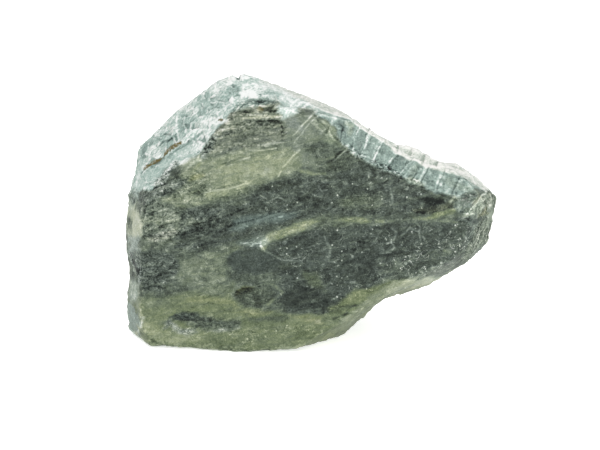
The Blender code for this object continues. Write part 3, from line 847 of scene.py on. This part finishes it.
# How fresh and splintered the sides are, next to a top that is fully so, and how leafy the top is.
brokenStone = {
    "fresh": 0.4,
    "splinter": 0.3,
    "leafyTop": 0.5,
}
wear = {
    "fade": 3.0,  # pixels over which the worn edges fade
    "heights": (1.0, 5.0),  # the stone's sharp foot, below the first, is not worn
    "strength": 0.9,
    "rounds": 60,
    "edgeReach": 3.0,  # how far worn edges are kept from the chips along sharp ones
}
standingHeights = (0.5, 3.0)  # the relief fades out between them, so that the base stays flat


def paintPatches(places, drift, patches, looks, weight):
    for tone, softness, others, shape in patches.values():
        strayed = places + drift * (1 - stray["splinters"] * looks["splinter"])[:, None]
        amount = smoothStep(softness, -softness, shapeGap(strayed, shape)) * weight
        for name, value in {"tone": tone, **others}.items():
            if value is not None:
                looks[name] += (value - looks[name]) * amount


def nearestLine(places, lines, weight):
    gap = np.full(len(places), lineReach)
    for paths in lines.values():
        for path in paths:
            gap = np.minimum(gap, lineGap(places, path))
    return gap * weight + lineReach * (1 - weight)


# Saw-tooth height along the ridge: 0 just after each step, rising to 1 before the next one.
def stepRise(places):
    aside = []
    for (x0, y0), (x1, y1) in ridgeSteps:
        length = math.hypot(x1 - x0, y1 - y0)
        aside.append(((places[:, 0] - x0) * (y1 - y0) - (places[:, 1] - y0) * (x1 - x0)) / length)
    rise = np.zeros(len(places))
    for left, right in zip(aside, aside[1:]):
        between = (left > 0) & (right <= 0)
        rise[between] = left[between] / (left[between] - right[between])
    return rise


def wisps(points):
    dip = math.radians(lumpBody["foliationDip"])
    along = points[:, 0] * math.cos(dip) + points[:, 2] * math.sin(dip)
    above = points[:, 2] * math.cos(dip) - points[:, 0] * math.sin(dip)
    noise.seed_set(stray["seed"])
    drift = np.zeros((len(points), 2))
    for size, share in stray["sizes"].items():
        spots = np.stack((along / stray["stretch"], points[:, 1], above), axis=1) / size
        drift += share * np.array([noise.noise_vector(Vector(spot))[:2] for spot in spots])
    return drift


def plainLooks(upward, edgeOn, foot):
    looks = {}
    for name, (base, top, side, atFoot) in plainStone.items():
        looks[name] = base + top * upward + side * edgeOn + atFoot * foot
    for name in ("fresh", "splinter"):
        looks[name] = np.maximum(upward, brokenStone[name] * edgeOn)
    looks["leafy"] = edgeOn * (1 - brokenStone["leafyTop"] * upward)
    return looks


def keep(mesh, name, values):
    layer = mesh.attributes.get(name) or mesh.attributes.new(name, "FLOAT", "POINT")
    layer.data.foreach_set("value", values.astype(np.float32))


cadMesh, cadBody = cadCopy()
lump = denseSkin(cadMesh)
refineSeen(lump.data)
points, facetNormals = snapToFacets(lump.data, cadBody)
onBevel = fillBevel(lump.data, points, facetNormals)
edgeGap = edgeDistance(points, cadBody)
cadBody.free()
print("skin", len(lump.data.vertices), "points")

seen = smoothStep(*sides["seen"], facingLens(points, facetNormals))
seen = settle(lump.data, seen[:, None], np.full(len(seen), 0.5), seenBlur)[:, 0]
behind = smoothStep(*sides["behind"], facetNormals[:, 1])
upward = smoothStep(*sides["upward"], facetNormals[:, 2])
edgeOn = smoothStep(*sides["edgeOn"], np.abs(facetNormals @ np.array(lumpBody["schistosity"])))
foot = smoothStep(*lumpBody["oliveFoot"], points[:, 2] + lumpBody["footRise"] * points[:, 0])
looks = plainLooks(upward, edgeOn, foot)
drift = wisps(points)
places = photoPlaces(points)
backPlaces = np.stack((-points[:, 0], points[:, 2]), axis=1)
paintPatches(backPlaces, drift * stray["backPatches"], backPatches, looks, behind)
paintPatches(places, drift * stray["patches"], frontPatches, looks, seen)
for name, lines in frontLines.items():
    # bumps and dents lie on the outline, so they hold on both sides of it
    weight = 1.0 if name in ("bump", "dent") else seen
    looks[name] = nearestLine(places + drift * stray["lines"], lines, weight)
for name, lines in backLines.items():
    backGap = nearestLine(backPlaces + drift * stray["backLines"], lines, behind)
    looks[name] = np.minimum(looks[name], backGap)
worn = smoothStep(wear["fade"], -wear["fade"], nearestLine(places, roundedEdges, seen))
worn *= smoothStep(*wear["heights"], points[:, 2])
looks["step"] = stepRise(places + drift * stray["steps"]) * onBevel
looks["edgeGap"] = edgeGap + wear["edgeReach"] * worn
looks["loose"] = smoothStep(*standingHeights, points[:, 2])
for name, values in looks.items():
    keep(lump.data, name, values)
movePoints(lump.data, settle(lump.data, points, wear["strength"] * worn, wear["rounds"]))
print("markings painted")

# The relief that breaking leaves, in mm. Every depth goes into the stone.
relief = {
    "Ledge spacing": 1.3,
    "Ledge waver": 2.5,  # how far rough stone bends the ledges
    "Ledge depth": 1.6,
    "Leaf spacing": 1.5,
    "Leaf waver": 2.0,
    "Leaf depth": 1.3,
    "Rough size": 4.0,
    "Splinter size": 5.0,
    "Splinter tilt": 0.3,  # rise of a splinter's face over its size
    "Plate size": 14.0,
    "Plate depth": 0.2,
    "Grain size": 1.6,
    "Grain depth": 0.25,
    "Edge wear": 0.5,
    "Edge reach": 2.6,
    "Rim reach": 6.0,
    "Base chips": 1.6,
    "Crack depth": 0.6,
    "Dent depth": 2.4,
    "Bump depth": -1.8,  # outwards
    "Step depth": 0.6,
    "Swell": 0.3,  # what the skin stands out by first, so that the lump keeps its size on average
}
# Where a crack, dent or bump is at its full depth and where it ends, in pixels from its line.
markEdges = {
    "crack": (-0.5, 1.5),
    "dent": (-1.0, 3.0),
    "bump": (-1.0, 4.0),
}
smooth = {"interpolation_type": "SMOOTHSTEP"}


def reliefTree(material):
    tree = bpy.data.node_groups.new("soapstoneRelief", "GeometryNodeTree")
    tree.interface.new_socket("Geometry", in_out="INPUT", socket_type="NodeSocketGeometry")
    for name, value in relief.items():
        socket = tree.interface.new_socket(name, in_out="INPUT", socket_type="NodeSocketFloat")
        socket.default_value = value
    tree.interface.new_socket("Geometry", in_out="OUTPUT", socket_type="NodeSocketGeometry")
    group = addNode(tree, "NodeGroupInput").node
    size = group.outputs

    marks = {}
    for name in ("ledge", "leafy", "splinter", "fleck", "edgeGap", "step", "loose", *markEdges):
        marks[name] = addNode(tree, "GeometryNodeInputNamedAttribute", {"data_type": "FLOAT"}, {"Name": name})
    position = addNode(tree, "GeometryNodeInputPosition")
    place = addNode(tree, "VectorMath", "SCALE", {0: position, "Scale": 1 / mm})
    height = addNode(tree, "SeparateXYZ", {}, (place,), 2)
    scales = {}
    for name in ("Rough", "Splinter", "Plate", "Grain"):
        scales[name] = addNode(tree, "Math", "DIVIDE", (1.0, size[name + " size"]))
    rough = addNode(tree, "TexNoise", {}, {"Vector": place, "Scale": scales["Rough"], "Detail": 3.0})

    # ledges up the face, and the edges of the cleavage leaves on the sides: uneven steps
    across = addNode(tree, "VectorMath", "DOT_PRODUCT", (place, lumpBody["schistosity"]), 1)
    total = 0.0
    for name, mark, way, detail in (("Ledge", "ledge", height, 1.5), ("Leaf", "leafy", across, 1.0)):
        waved = addNode(tree, "Math", "MULTIPLY_ADD", (rough, size[name + " waver"], way))
        waved = addNode(tree, "Math", "DIVIDE", (waved, size[name + " spacing"]))
        steps = addNode(tree, "TexNoise", {"noise_dimensions": "1D"}, {"W": waved, "Detail": detail})
        steps = addNode(tree, "Math", "SUBTRACT", (steps, 0.5))
        steps = addNode(tree, "Math", "MULTIPLY", (steps, size[name + " depth"]))
        total = addNode(tree, "Math", "MULTIPLY_ADD", (steps, marks[mark], total))

    # splinters: each cell of the broken face tilts its own way
    cells = addNode(tree, "TexVoronoi", {}, {"Vector": place, "Scale": scales["Splinter"]}).node
    fromMiddle = addNode(tree, "VectorMath", "SUBTRACT", (place, cells.outputs["Position"]))
    lean = addNode(tree, "VectorMath", "SUBTRACT", (cells.outputs["Color"], (0.5, 0.5, 0.5)))
    slope = addNode(tree, "VectorMath", "DOT_PRODUCT", (fromMiddle, lean), 1)
    splinter = addNode(tree, "Math", "MULTIPLY_ADD", (size["Splinter size"], 0.1, slope))
    splinter = addNode(tree, "Math", "MULTIPLY", (splinter, size["Splinter tilt"]))
    total = addNode(tree, "Math", "MULTIPLY_ADD", (splinter, marks["splinter"], total))

    # plates: two thin sheets, one under the other, that have come off the cleaved faces
    stretched = addNode(tree, "VectorMath", "MULTIPLY", (place, (0.5, 1.0, 1.4)))
    sheet = addNode(tree, "TexNoise", {}, {"Vector": stretched, "Scale": scales["Plate"], "Detail": 3.0})
    whole = addNode(tree, "Math", "SUBTRACT", (1.0, marks["splinter"]))
    plate = addNode(tree, "Math", "MULTIPLY", (whole, size["Plate depth"]))
    for rim in (0.5, 0.6):
        gone = addNode(tree, "MapRange", smooth, (sheet, rim, rim + 0.03))
        total = addNode(tree, "Math", "MULTIPLY_ADD", (gone, plate, total))

    # grain
    grain = addNode(tree, "TexNoise", {},
                    {"Vector": place, "Scale": scales["Grain"], "Detail": 3.0, "Roughness": 0.7})
    grain = addNode(tree, "Math", "SUBTRACT", (grain, 0.5))
    grain = addNode(tree, "Math", "MULTIPLY", (grain, size["Grain depth"]))
    coarseness = addNode(tree, "Math", "ADD", (marks["fleck"], 0.3))
    total = addNode(tree, "Math", "MULTIPLY_ADD", (grain, coarseness, total))

    # worn edges, cracks, dents and bumps, and the bevel's steps
    near = addNode(tree, "MapRange", smooth, (marks["edgeGap"], 0.0, size["Edge reach"], 1.0, 0.0))
    bitten = addNode(tree, "MapRange", smooth, (rough, 0.4, 0.65, 0.15, 1.0))
    bitten = addNode(tree, "Math", "MULTIPLY", (near, bitten))
    total = addNode(tree, "Math", "MULTIPLY_ADD", (bitten, size["Edge wear"], total))
    for mark, (inside, outside) in markEdges.items():
        sunk = addNode(tree, "MapRange", smooth, (marks[mark], inside, outside, 1.0, 0.0))
        total = addNode(tree, "Math", "MULTIPLY_ADD", (sunk, size[mark.title() + " depth"], total))
    total = addNode(tree, "Math", "MULTIPLY_ADD", (marks["step"], size["Step depth"], total))
    total = addNode(tree, "Math", "SUBTRACT", (total, size["Swell"]))
    depth = addNode(tree, "Math", "MULTIPLY", (total, marks["loose"]))
    depth = addNode(tree, "Math", "MULTIPLY", (depth, -mm))
    normal = addNode(tree, "GeometryNodeInputNormal")
    offset = addNode(tree, "VectorMath", "SCALE", {0: normal, "Scale": depth})

    # the rim of the base is chipped towards its middle, level with the floor
    level = addNode(tree, "VectorMath", "MULTIPLY", (place, (1.0, 1.0, 0.0)))
    outwards = addNode(tree, "VectorMath", "NORMALIZE", (level,))
    rim = addNode(tree, "MapRange", smooth, (marks["edgeGap"], 0.0, size["Rim reach"], 1.0, 0.0))
    fixed = addNode(tree, "Math", "SUBTRACT", (1.0, marks["loose"]))
    chips = addNode(tree, "MapRange", smooth, (rough, 0.38, 0.62))
    for factor in (rim, fixed, size["Base chips"], -mm):
        chips = addNode(tree, "Math", "MULTIPLY", (chips, factor))
    inwards = addNode(tree, "VectorMath", "SCALE", {0: outwards, "Scale": chips})
    offset = addNode(tree, "VectorMath", "ADD", (offset, inwards))

    carved = addNode(tree, "GeometryNodeSetPosition", {}, {"Geometry": group.outputs[0], "Offset": offset})
    single = addNode(tree, "GeometryNodeRealizeInstances", {}, {"Geometry": carved})
    finished = addNode(tree, "GeometryNodeSetMaterial", {}, {"Geometry": single, "Material": material})
    addNode(tree, "NodeGroupOutput", {}, {"Geometry": finished})
    return tree


# Soapstone, split along its cleavage and never polished: a dark green-grey face with pale talc clouds and
# veins under a faint waxy gloss, and paler, duller blue-grey splinters where it broke across the leaves.
stoneColours = {
    # by tone
    "grey": {0.0: "#020302", 0.16: "#050D0A", 0.30: "#2C332E", 0.42: "#444D47", 0.56: "#626B63",
             0.72: "#848C84", 0.86: "#A4A9A2", 1.0: "#C2C2C1"},
    "olive": {0.0: "#030302", 0.16: "#080C05", 0.30: "#2E3423", 0.42: "#455038", 0.56: "#646E52",
              0.72: "#888E72", 0.86: "#A8AB91", 1.0: "#C2C2B6"},
    "fresh": {0.0: "#020303", 0.16: "#050D0D", 0.30: "#283433", 0.42: "#404E4A", 0.56: "#5E6E69",
              0.72: "#7D9089", 0.86: "#9DACA5", 1.0: "#CDCFCD"},
    "pink": "#B6AAA8",
    "brown": "#FFEFD0",  # what the brown parts let through
    "stain": "#5B5232",
    "veinOlive": 0.55,  # how much more olive the veins are, and the streaks
    "streakOlive": 1.2,
    "dustPink": 0.22,
    "stainStrength": 1.25,
    "roughness": 0.6,
    "IOR": 1.55,  # talc
    "specular": 0.12,
    "bumpStrength": 0.6,
    "bumpDepth": 0.5,  # mm
    "bumpGrain": 0.5,  # the grain's share in the bump next to the mottle's
}

# Patterns in the stone: grain size along the foliation, into the stone and across it, in mm, degrees by
# which it is turned from the foliation, then detail, roughness and distortion. "grain" is drawn about four
# times as coarse as real talc grain, to show at all.
stonePatterns = {
    "cloud": ((22.0, 12.0, 9.0), 0, 3.0, 0.55, 0.6),
    "streak": ((9.0, 5.0, 2.0), 0, 4.0, 0.75, 1.0),
    "mottle": ((4.0, 3.6, 3.0), 0, 4.0, 0.85, 0.5),
    "grain": ((0.75, 0.75, 0.7), 0, 2.0, 0.8, 0.0),
    "dust": ((6.0, 6.0, 4.0), 0, 5.0, 0.7, 1.2),
    "crumb": ((2.6, 2.4, 2.0), 0, 4.0, 0.8, 0.5),
    "row": ((9.0, 9.0, 0.9), 12, 3.0, 0.7, 0.5),  # fine level lines on the ledges
    "hatch": ((0.9, 0.9, 6.0), 37, 2.0, 0.7, 0.0),  # steep lines on the splinters
}
# How far each pattern or feature moves the tone at its strongest.
toneSway = {
    "cloud": 0.18,
    "grain": 0.36,
    "streak": 0.46,  # this one and the next where the stone is flecked
    "mottle": 0.9,
    "leaves": 1.3,
    "row": 0.4,
    "splinters": 0.14,
    "breaks": 0.65,
    # ridges: bruised white and painted highlight; hollows: dirt and painted shade
    "ridgeBruiseAndHighlight": 0.12,
    "hollowDirtAndShade": -0.16,
}
# How far the patterns fray or bend what is drawn through them.
fraying = {
    "lineStreak": 3.0,  # pixels, and so is the next
    "lineMottle": 5.0,
    "leaf": 2.5,  # mm, and so is the next
    "splinter": 4.0,
    "seam": 0.5,  # cells, and so is the next
    "speck": -0.5,
    "ridge": 1.2,
}
# What each thin line adds to the tone, how far inside and outside its drawn width it fades, in pixels, and
# how far the grain frays it.
lineLooks = {
    "vein": (0.19, -1.5, 1.5, 1.6),
    "bar": (0.29, -1.2, 1.5, 0.8),
    "scratch": (0.32, -0.8, 1.0, 1.0),
    "shade": (-0.22, -0.9, 1.2, 0.8),
    # cracks are carved by the relief, and their dark is painted shade in them
    "crack": (-0.24, -0.8, 0.9, 0.6),
    "stain": (-0.1, -0.4, 1.2, 0.4),
}
# Pale seams between splinters: their width in cells, and their share next to the hatching.
stoneSeams = {"width": 0.09, "share": 0.15}
# White dust on the splinters, crusts of white talc crumbs, and painted shade in the pits between them: the
# pattern each is cut from, where in it they begin and are complete, the mark they follow, and what they add
# to the tone.
coatings = {
    "dust": ("dust", 0.04, 0.16, "splinter", 0.08),
    "crust": ("crumb", 0.03, 0.07, "crust", 0.17),
    # painted shade in pits that the relief does not carve
    "pits": ("crumb", -0.03, -0.07, "pits", -0.18),
}
# White specks, partly talc flecks and partly painted glints of the waxy sheen: how wide a cell each has in
# mm, its core and rim in cells, the share of cells left empty, and its tone.
talcSpecksAndGlints = {
    "small": (2.6, 0.08, 0.21, 0.5, 0.5),
    "large": (7.5, 0.05, 0.12, 0.4, 0.4),
}
# Short curved threads of talc in the dark stone: how far they wander in mm, their half-width, and their tone.
talcThreads = {
    "long": (6.0, 0.014, 0.26),
    "short": (3.4, 0.020, 0.2),
}


def soapstoneMaterial():
    material = bpy.data.materials.new("cleavedSoapstone")
    material.use_nodes = True
    tree = material.node_tree
    tree.nodes.clear()

    marks = {}
    for name in ("tone", "olive", "fresh", "warm", "fleck", "speck", "crust", "pits", "ledge", "leafy",
                 "splinter", "bulge", *lineLooks):
        marks[name] = addNode(tree, "Attribute", {"attribute_name": name}, out=2)
    where = addNode(tree, "TexCoord", out=3)
    patterns = {}
    for name, (grain, turn, detail, roughness, distortion) in stonePatterns.items():
        tilt = math.radians(turn - lumpBody["foliationDip"])
        spot = addNode(tree, "Mapping", {"vector_type": "TEXTURE"},
                       {"Vector": where, "Rotation": (0, tilt, 0),
                        "Scale": [length * mm for length in grain]})
        spread = addNode(tree, "TexNoise", {},
                         {"Vector": spot, "Scale": 1.0, "Detail": detail, "Roughness": roughness,
                          "Distortion": distortion})
        patterns[name] = addNode(tree, "Math", "SUBTRACT", (spread, 0.5))
    spot = addNode(tree, "VectorMath", "SCALE", {0: where, "Scale": 1 / mm})

    tone = marks["tone"]
    for name in ("cloud", "grain"):
        tone = addNode(tree, "Math", "MULTIPLY_ADD", (patterns[name], toneSway[name], tone))
    flecks = addNode(tree, "Math", "MULTIPLY", (patterns["mottle"], toneSway["mottle"]))
    flecks = addNode(tree, "Math", "MULTIPLY_ADD", (patterns["streak"], toneSway["streak"], flecks))
    tone = addNode(tree, "Math", "MULTIPLY_ADD", (flecks, marks["fleck"], tone))

    # thin lines, frayed and broken up by the grain
    fray = addNode(tree, "Math", "MULTIPLY", (patterns["streak"], fraying["lineStreak"]))
    fray = addNode(tree, "Math", "MULTIPLY_ADD", (patterns["mottle"], fraying["lineMottle"], fray))
    gaps = addNode(tree, "MapRange", smooth, (patterns["crumb"], -0.08, 0.05, 0.5, 1.0))
    lines = {}
    for name, (amount, inside, outside, share) in lineLooks.items():
        frayed = addNode(tree, "Math", "MULTIPLY_ADD", (fray, share, marks[name]))
        line = addNode(tree, "MapRange", smooth, (frayed, inside, outside, 1.0, 0.0))
        lines[name] = addNode(tree, "Math", "MULTIPLY", (line, gaps))
        tone = addNode(tree, "Math", "MULTIPLY_ADD", (lines[name], amount, tone))

    # the edges of the leaves, seen on the sides as fine pale and dark lines
    across = addNode(tree, "VectorMath", "DOT_PRODUCT", (spot, lumpBody["schistosity"]), 1)
    leafPlace = addNode(tree, "Math", "MULTIPLY_ADD", (patterns["streak"], fraying["leaf"], across))
    leafPlace = addNode(tree, "Math", "DIVIDE", (leafPlace, relief["Leaf spacing"]))
    leaves = addNode(tree, "TexNoise", {"noise_dimensions": "1D"},
                     {"W": leafPlace, "Detail": 3.0, "Roughness": 0.7})
    leaves = addNode(tree, "Math", "SUBTRACT", (leaves, 0.5))

    # broken splinters, each with its own tone, with pale seams between them and hatched faces
    bend = [fraying["splinter"]] * 3
    warped = addNode(tree, "VectorMath", "MULTIPLY_ADD", (patterns["streak"], bend, spot))
    cellSizes = {"Vector": warped, "Scale": 1 / relief["Splinter size"]}
    cells = addNode(tree, "TexVoronoi", {}, cellSizes).node
    cellTone = addNode(tree, "SeparateColor", {}, (cells.outputs["Color"],))
    cellTone = addNode(tree, "Math", "SUBTRACT", (cellTone, 0.5))
    seams = addNode(tree, "TexVoronoi", {"feature": "DISTANCE_TO_EDGE"}, cellSizes)
    seams = addNode(tree, "Math", "MULTIPLY_ADD", (patterns["crumb"], fraying["seam"], seams))
    seams = addNode(tree, "MapRange", smooth, (seams, 0.0, stoneSeams["width"], 1.0, 0.0))
    breaks = addNode(tree, "Math", "MULTIPLY_ADD", (seams, stoneSeams["share"], patterns["hatch"]))
    features = {"leaves": (leaves, "leafy"), "row": (patterns["row"], "ledge"),
                "splinters": (cellTone, "splinter"), "breaks": (breaks, "splinter")}
    for name, (feature, mark) in features.items():
        feature = addNode(tree, "Math", "MULTIPLY", (feature, marks[mark]))
        tone = addNode(tree, "Math", "MULTIPLY_ADD", (feature, toneSway[name], tone))

    coats = {}
    for name, (pattern, start, end, mark, amount) in coatings.items():
        coat = addNode(tree, "MapRange", smooth, (patterns[pattern], start, end))
        coats[name] = addNode(tree, "Math", "MULTIPLY", (coat, marks[mark]))
        tone = addNode(tree, "Math", "MULTIPLY_ADD", (coats[name], amount, tone))

    # white specks: talc flecks, and painted glints of the waxy sheen
    for cell, core, rim, empty, amount in talcSpecksAndGlints.values():
        specks = addNode(tree, "TexVoronoi", {}, {"Vector": spot, "Scale": 1 / cell}).node
        speck = addNode(tree, "Math", "MULTIPLY_ADD",
                        (patterns["crumb"], fraying["speck"], specks.outputs["Distance"]))
        speck = addNode(tree, "MapRange", smooth, (speck, core, rim, 1.0, 0.0))
        chosen = addNode(tree, "SeparateColor", {}, (specks.outputs["Color"],))
        chosen = addNode(tree, "MapRange", {}, (chosen, empty, 1.0, 0.0, 1.0))
        speck = addNode(tree, "Math", "MULTIPLY", (speck, chosen))
        speck = addNode(tree, "Math", "MULTIPLY", (speck, marks["speck"]))
        tone = addNode(tree, "Math", "MULTIPLY_ADD", (speck, amount, tone))

    cuts = addNode(tree, "MapRange", smooth, (patterns["dust"], 0.0, 0.05))
    for wander, width, amount in talcThreads.values():
        thread = addNode(tree, "TexNoise", {},
                         {"Vector": spot, "Scale": 1 / wander, "Detail": 0.6, "Distortion": 0.8})
        thread = addNode(tree, "Math", "SUBTRACT", (thread, 0.5))
        thread = addNode(tree, "Math", "ABSOLUTE", (thread,))
        thread = addNode(tree, "MapRange", smooth, (thread, width * 0.1, width, 1.0, 0.0))
        thread = addNode(tree, "Math", "MULTIPLY", (thread, cuts))
        thread = addNode(tree, "Math", "MULTIPLY", (thread, marks["speck"]))
        tone = addNode(tree, "Math", "MULTIPLY_ADD", (thread, amount, tone))

    # bruised white and painted highlight on the ridges, dirt and painted shade in the hollows
    ridgeBruiseAndHighlight = addNode(tree, "Math", "MULTIPLY_ADD", (patterns["mottle"], fraying["ridge"], marks["bulge"]))
    ridgeBruiseAndHighlight = addNode(tree, "MapRange", smooth, (ridgeBruiseAndHighlight, 0.08, 0.40, 0.0, toneSway["ridgeBruiseAndHighlight"]))
    hollowDirtAndShade = addNode(tree, "MapRange", smooth, (marks["bulge"], -0.05, -0.35, 0.0, toneSway["hollowDirtAndShade"]))
    tone = addNode(tree, "Math", "ADD", (tone, ridgeBruiseAndHighlight))
    tone = addNode(tree, "Math", "ADD", (tone, hollowDirtAndShade))

    tints = {name: hexColour(stoneColours[name]) for name in ("pink", "brown", "stain")}
    for name in ("grey", "olive", "fresh"):
        tints[name] = addNode(tree, "ValToRGB", {}, (tone,))
        stops = tints[name].node.color_ramp.elements
        for place, colour in stoneColours[name].items():
            stop = stops.new(place) if 0 < place < 1 else stops[-1 if place else 0]
            stop.color = hexColour(colour)
    clamped = {"operation": "MULTIPLY_ADD", "use_clamp": True}
    veined = addNode(tree, "Math", "MULTIPLY_ADD",
                     (lines["vein"], stoneColours["veinOlive"], marks["olive"]))
    shares = {
        "olive": addNode(tree, "Math", clamped, (patterns["streak"], stoneColours["streakOlive"], veined)),
        "fresh": marks["fresh"],
        "pink": addNode(tree, "Math", "MULTIPLY", (coats["dust"], stoneColours["dustPink"])),
        "brown": marks["warm"],
        "stain": addNode(tree, "Math", clamped, (lines["stain"], stoneColours["stainStrength"], 0.0)),
    }
    colour = tints["grey"]
    for name, share in shares.items():
        blend = "MULTIPLY" if name == "brown" else "MIX"
        colour = addNode(tree, "Mix", {"data_type": "RGBA", "blend_type": blend},
                         {0: share, 6: colour, 7: tints[name]}, 2)

    bumpHeight = addNode(tree, "Math", "MULTIPLY_ADD",
                         (patterns["grain"], stoneColours["bumpGrain"], patterns["mottle"]))
    bump = addNode(tree, "Bump", {}, {"Strength": stoneColours["bumpStrength"],
                                      "Distance": stoneColours["bumpDepth"] * mm, "Height": bumpHeight})
    shader = addNode(tree, "BsdfPrincipled", {},
                     {"Base Color": colour, "Roughness": stoneColours["roughness"],
                      "IOR": stoneColours["IOR"], "Specular IOR Level": stoneColours["specular"],
                      "Normal": bump})
    addNode(tree, "OutputMaterial", {}, {"Surface": shader})
    return material


def carve(lump, tree):
    modifier = lump.modifiers.new("relief", "NODES")
    modifier.node_group = tree
    for item in tree.interface.items_tree:
        if item.in_out == "INPUT" and item.name in relief:
            modifier[item.identifier] = relief[item.name]
    carved = bpy.data.meshes.new_from_object(lump.evaluated_get(bpy.context.evaluated_depsgraph_get()))
    lump.modifiers.clear()
    lump.data = carved
    # nothing stands outside the CAD box
    inside = np.clip(readVectors(carved.vertices, "co"), cadBox[0], cadBox[1])
    movePoints(carved, inside / mm)
    for polygon in carved.polygons:
        polygon.use_smooth = True
    triangles = sum(len(polygon.vertices) - 2 for polygon in carved.polygons)
    print("carved", len(carved.vertices), "points", triangles, "triangles")


stone = soapstoneMaterial()
lump.data.materials.clear()
lump.data.materials.append(stone)
carve(lump, reliefTree(stone))
keep(lump.data, "bulge", standingOut(lump.data))
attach(lump, "root")
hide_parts("soapstone")
print("stone carved")

studio = {
    "floorSize": 8.0,  # metres
    "floorColour": "#FAFAF8",
    "floorRoughness": 0.9,
    "floorGlow": 0.55,
    "light": "#FFFFFF",
    "sky": 1.08,
    # softboxes by place, width and power: one overhead, one in front that reaches under the overhang
    "softboxes": {"overhead": ((-0.15, -0.3, 1.5), 2.2, 9.0), "front": ((0.9, -1.3, 0.4), 1.2, 11.0)},
}


def makeFloor():
    half = studio["floorSize"] / 2
    mesh = bpy.data.meshes.new("floor")
    mesh.from_pydata([(-half, -half, 0), (half, -half, 0), (half, half, 0), (-half, half, 0)], [],
                     [(0, 1, 2, 3)])
    floor = bpy.data.objects.new("floor", mesh)
    bpy.context.scene.collection.objects.link(floor)
    # an opal acrylic light table, lit from below so that the stone leaves hardly any shadow on it
    material = bpy.data.materials.new("opalLightTable")
    material.use_nodes = True
    shader = material.node_tree.nodes["Principled BSDF"]
    shader.inputs["Base Color"].default_value = hexColour(studio["floorColour"])
    shader.inputs["Roughness"].default_value = studio["floorRoughness"]
    shader.inputs["Emission Color"].default_value = hexColour(studio["light"])
    shader.inputs["Emission Strength"].default_value = studio["floorGlow"]
    mesh.materials.append(material)


def makeLights():
    world = bpy.data.worlds.new("studio")
    world.use_nodes = True
    sky = world.node_tree.nodes["Background"]
    sky.inputs["Color"].default_value = hexColour(studio["light"])
    sky.inputs["Strength"].default_value = studio["sky"]
    bpy.context.scene.world = world
    for name, (place, width, power) in studio["softboxes"].items():
        light = bpy.data.lights.new(name, "AREA")
        light.shape = "DISK"
        light.size = width
        light.energy = power
        softbox = bpy.data.objects.new(name, light)
        softbox.location = place
        softbox.rotation_euler = Vector(place).to_track_quat("Z", "Y").to_euler()
        bpy.context.scene.collection.objects.link(softbox)
    bpy.context.scene.view_settings.view_transform = "Standard"


def makeCamera():
    data = bpy.data.cameras.new("photoCamera")
    data.lens = photoView["lens"]
    data.sensor_width = photoView["sensor"]
    camera = bpy.data.objects.new("photoCamera", data)
    camera.location = Vector(viewAxes()[2]) * mm
    camera.rotation_euler = (math.radians(90 - photoView["elevation"]), 0, 0)
    bpy.context.scene.collection.objects.link(camera)
    bpy.context.scene.camera = camera


makeFloor()
makeLights()
makeCamera()
print("studio made")
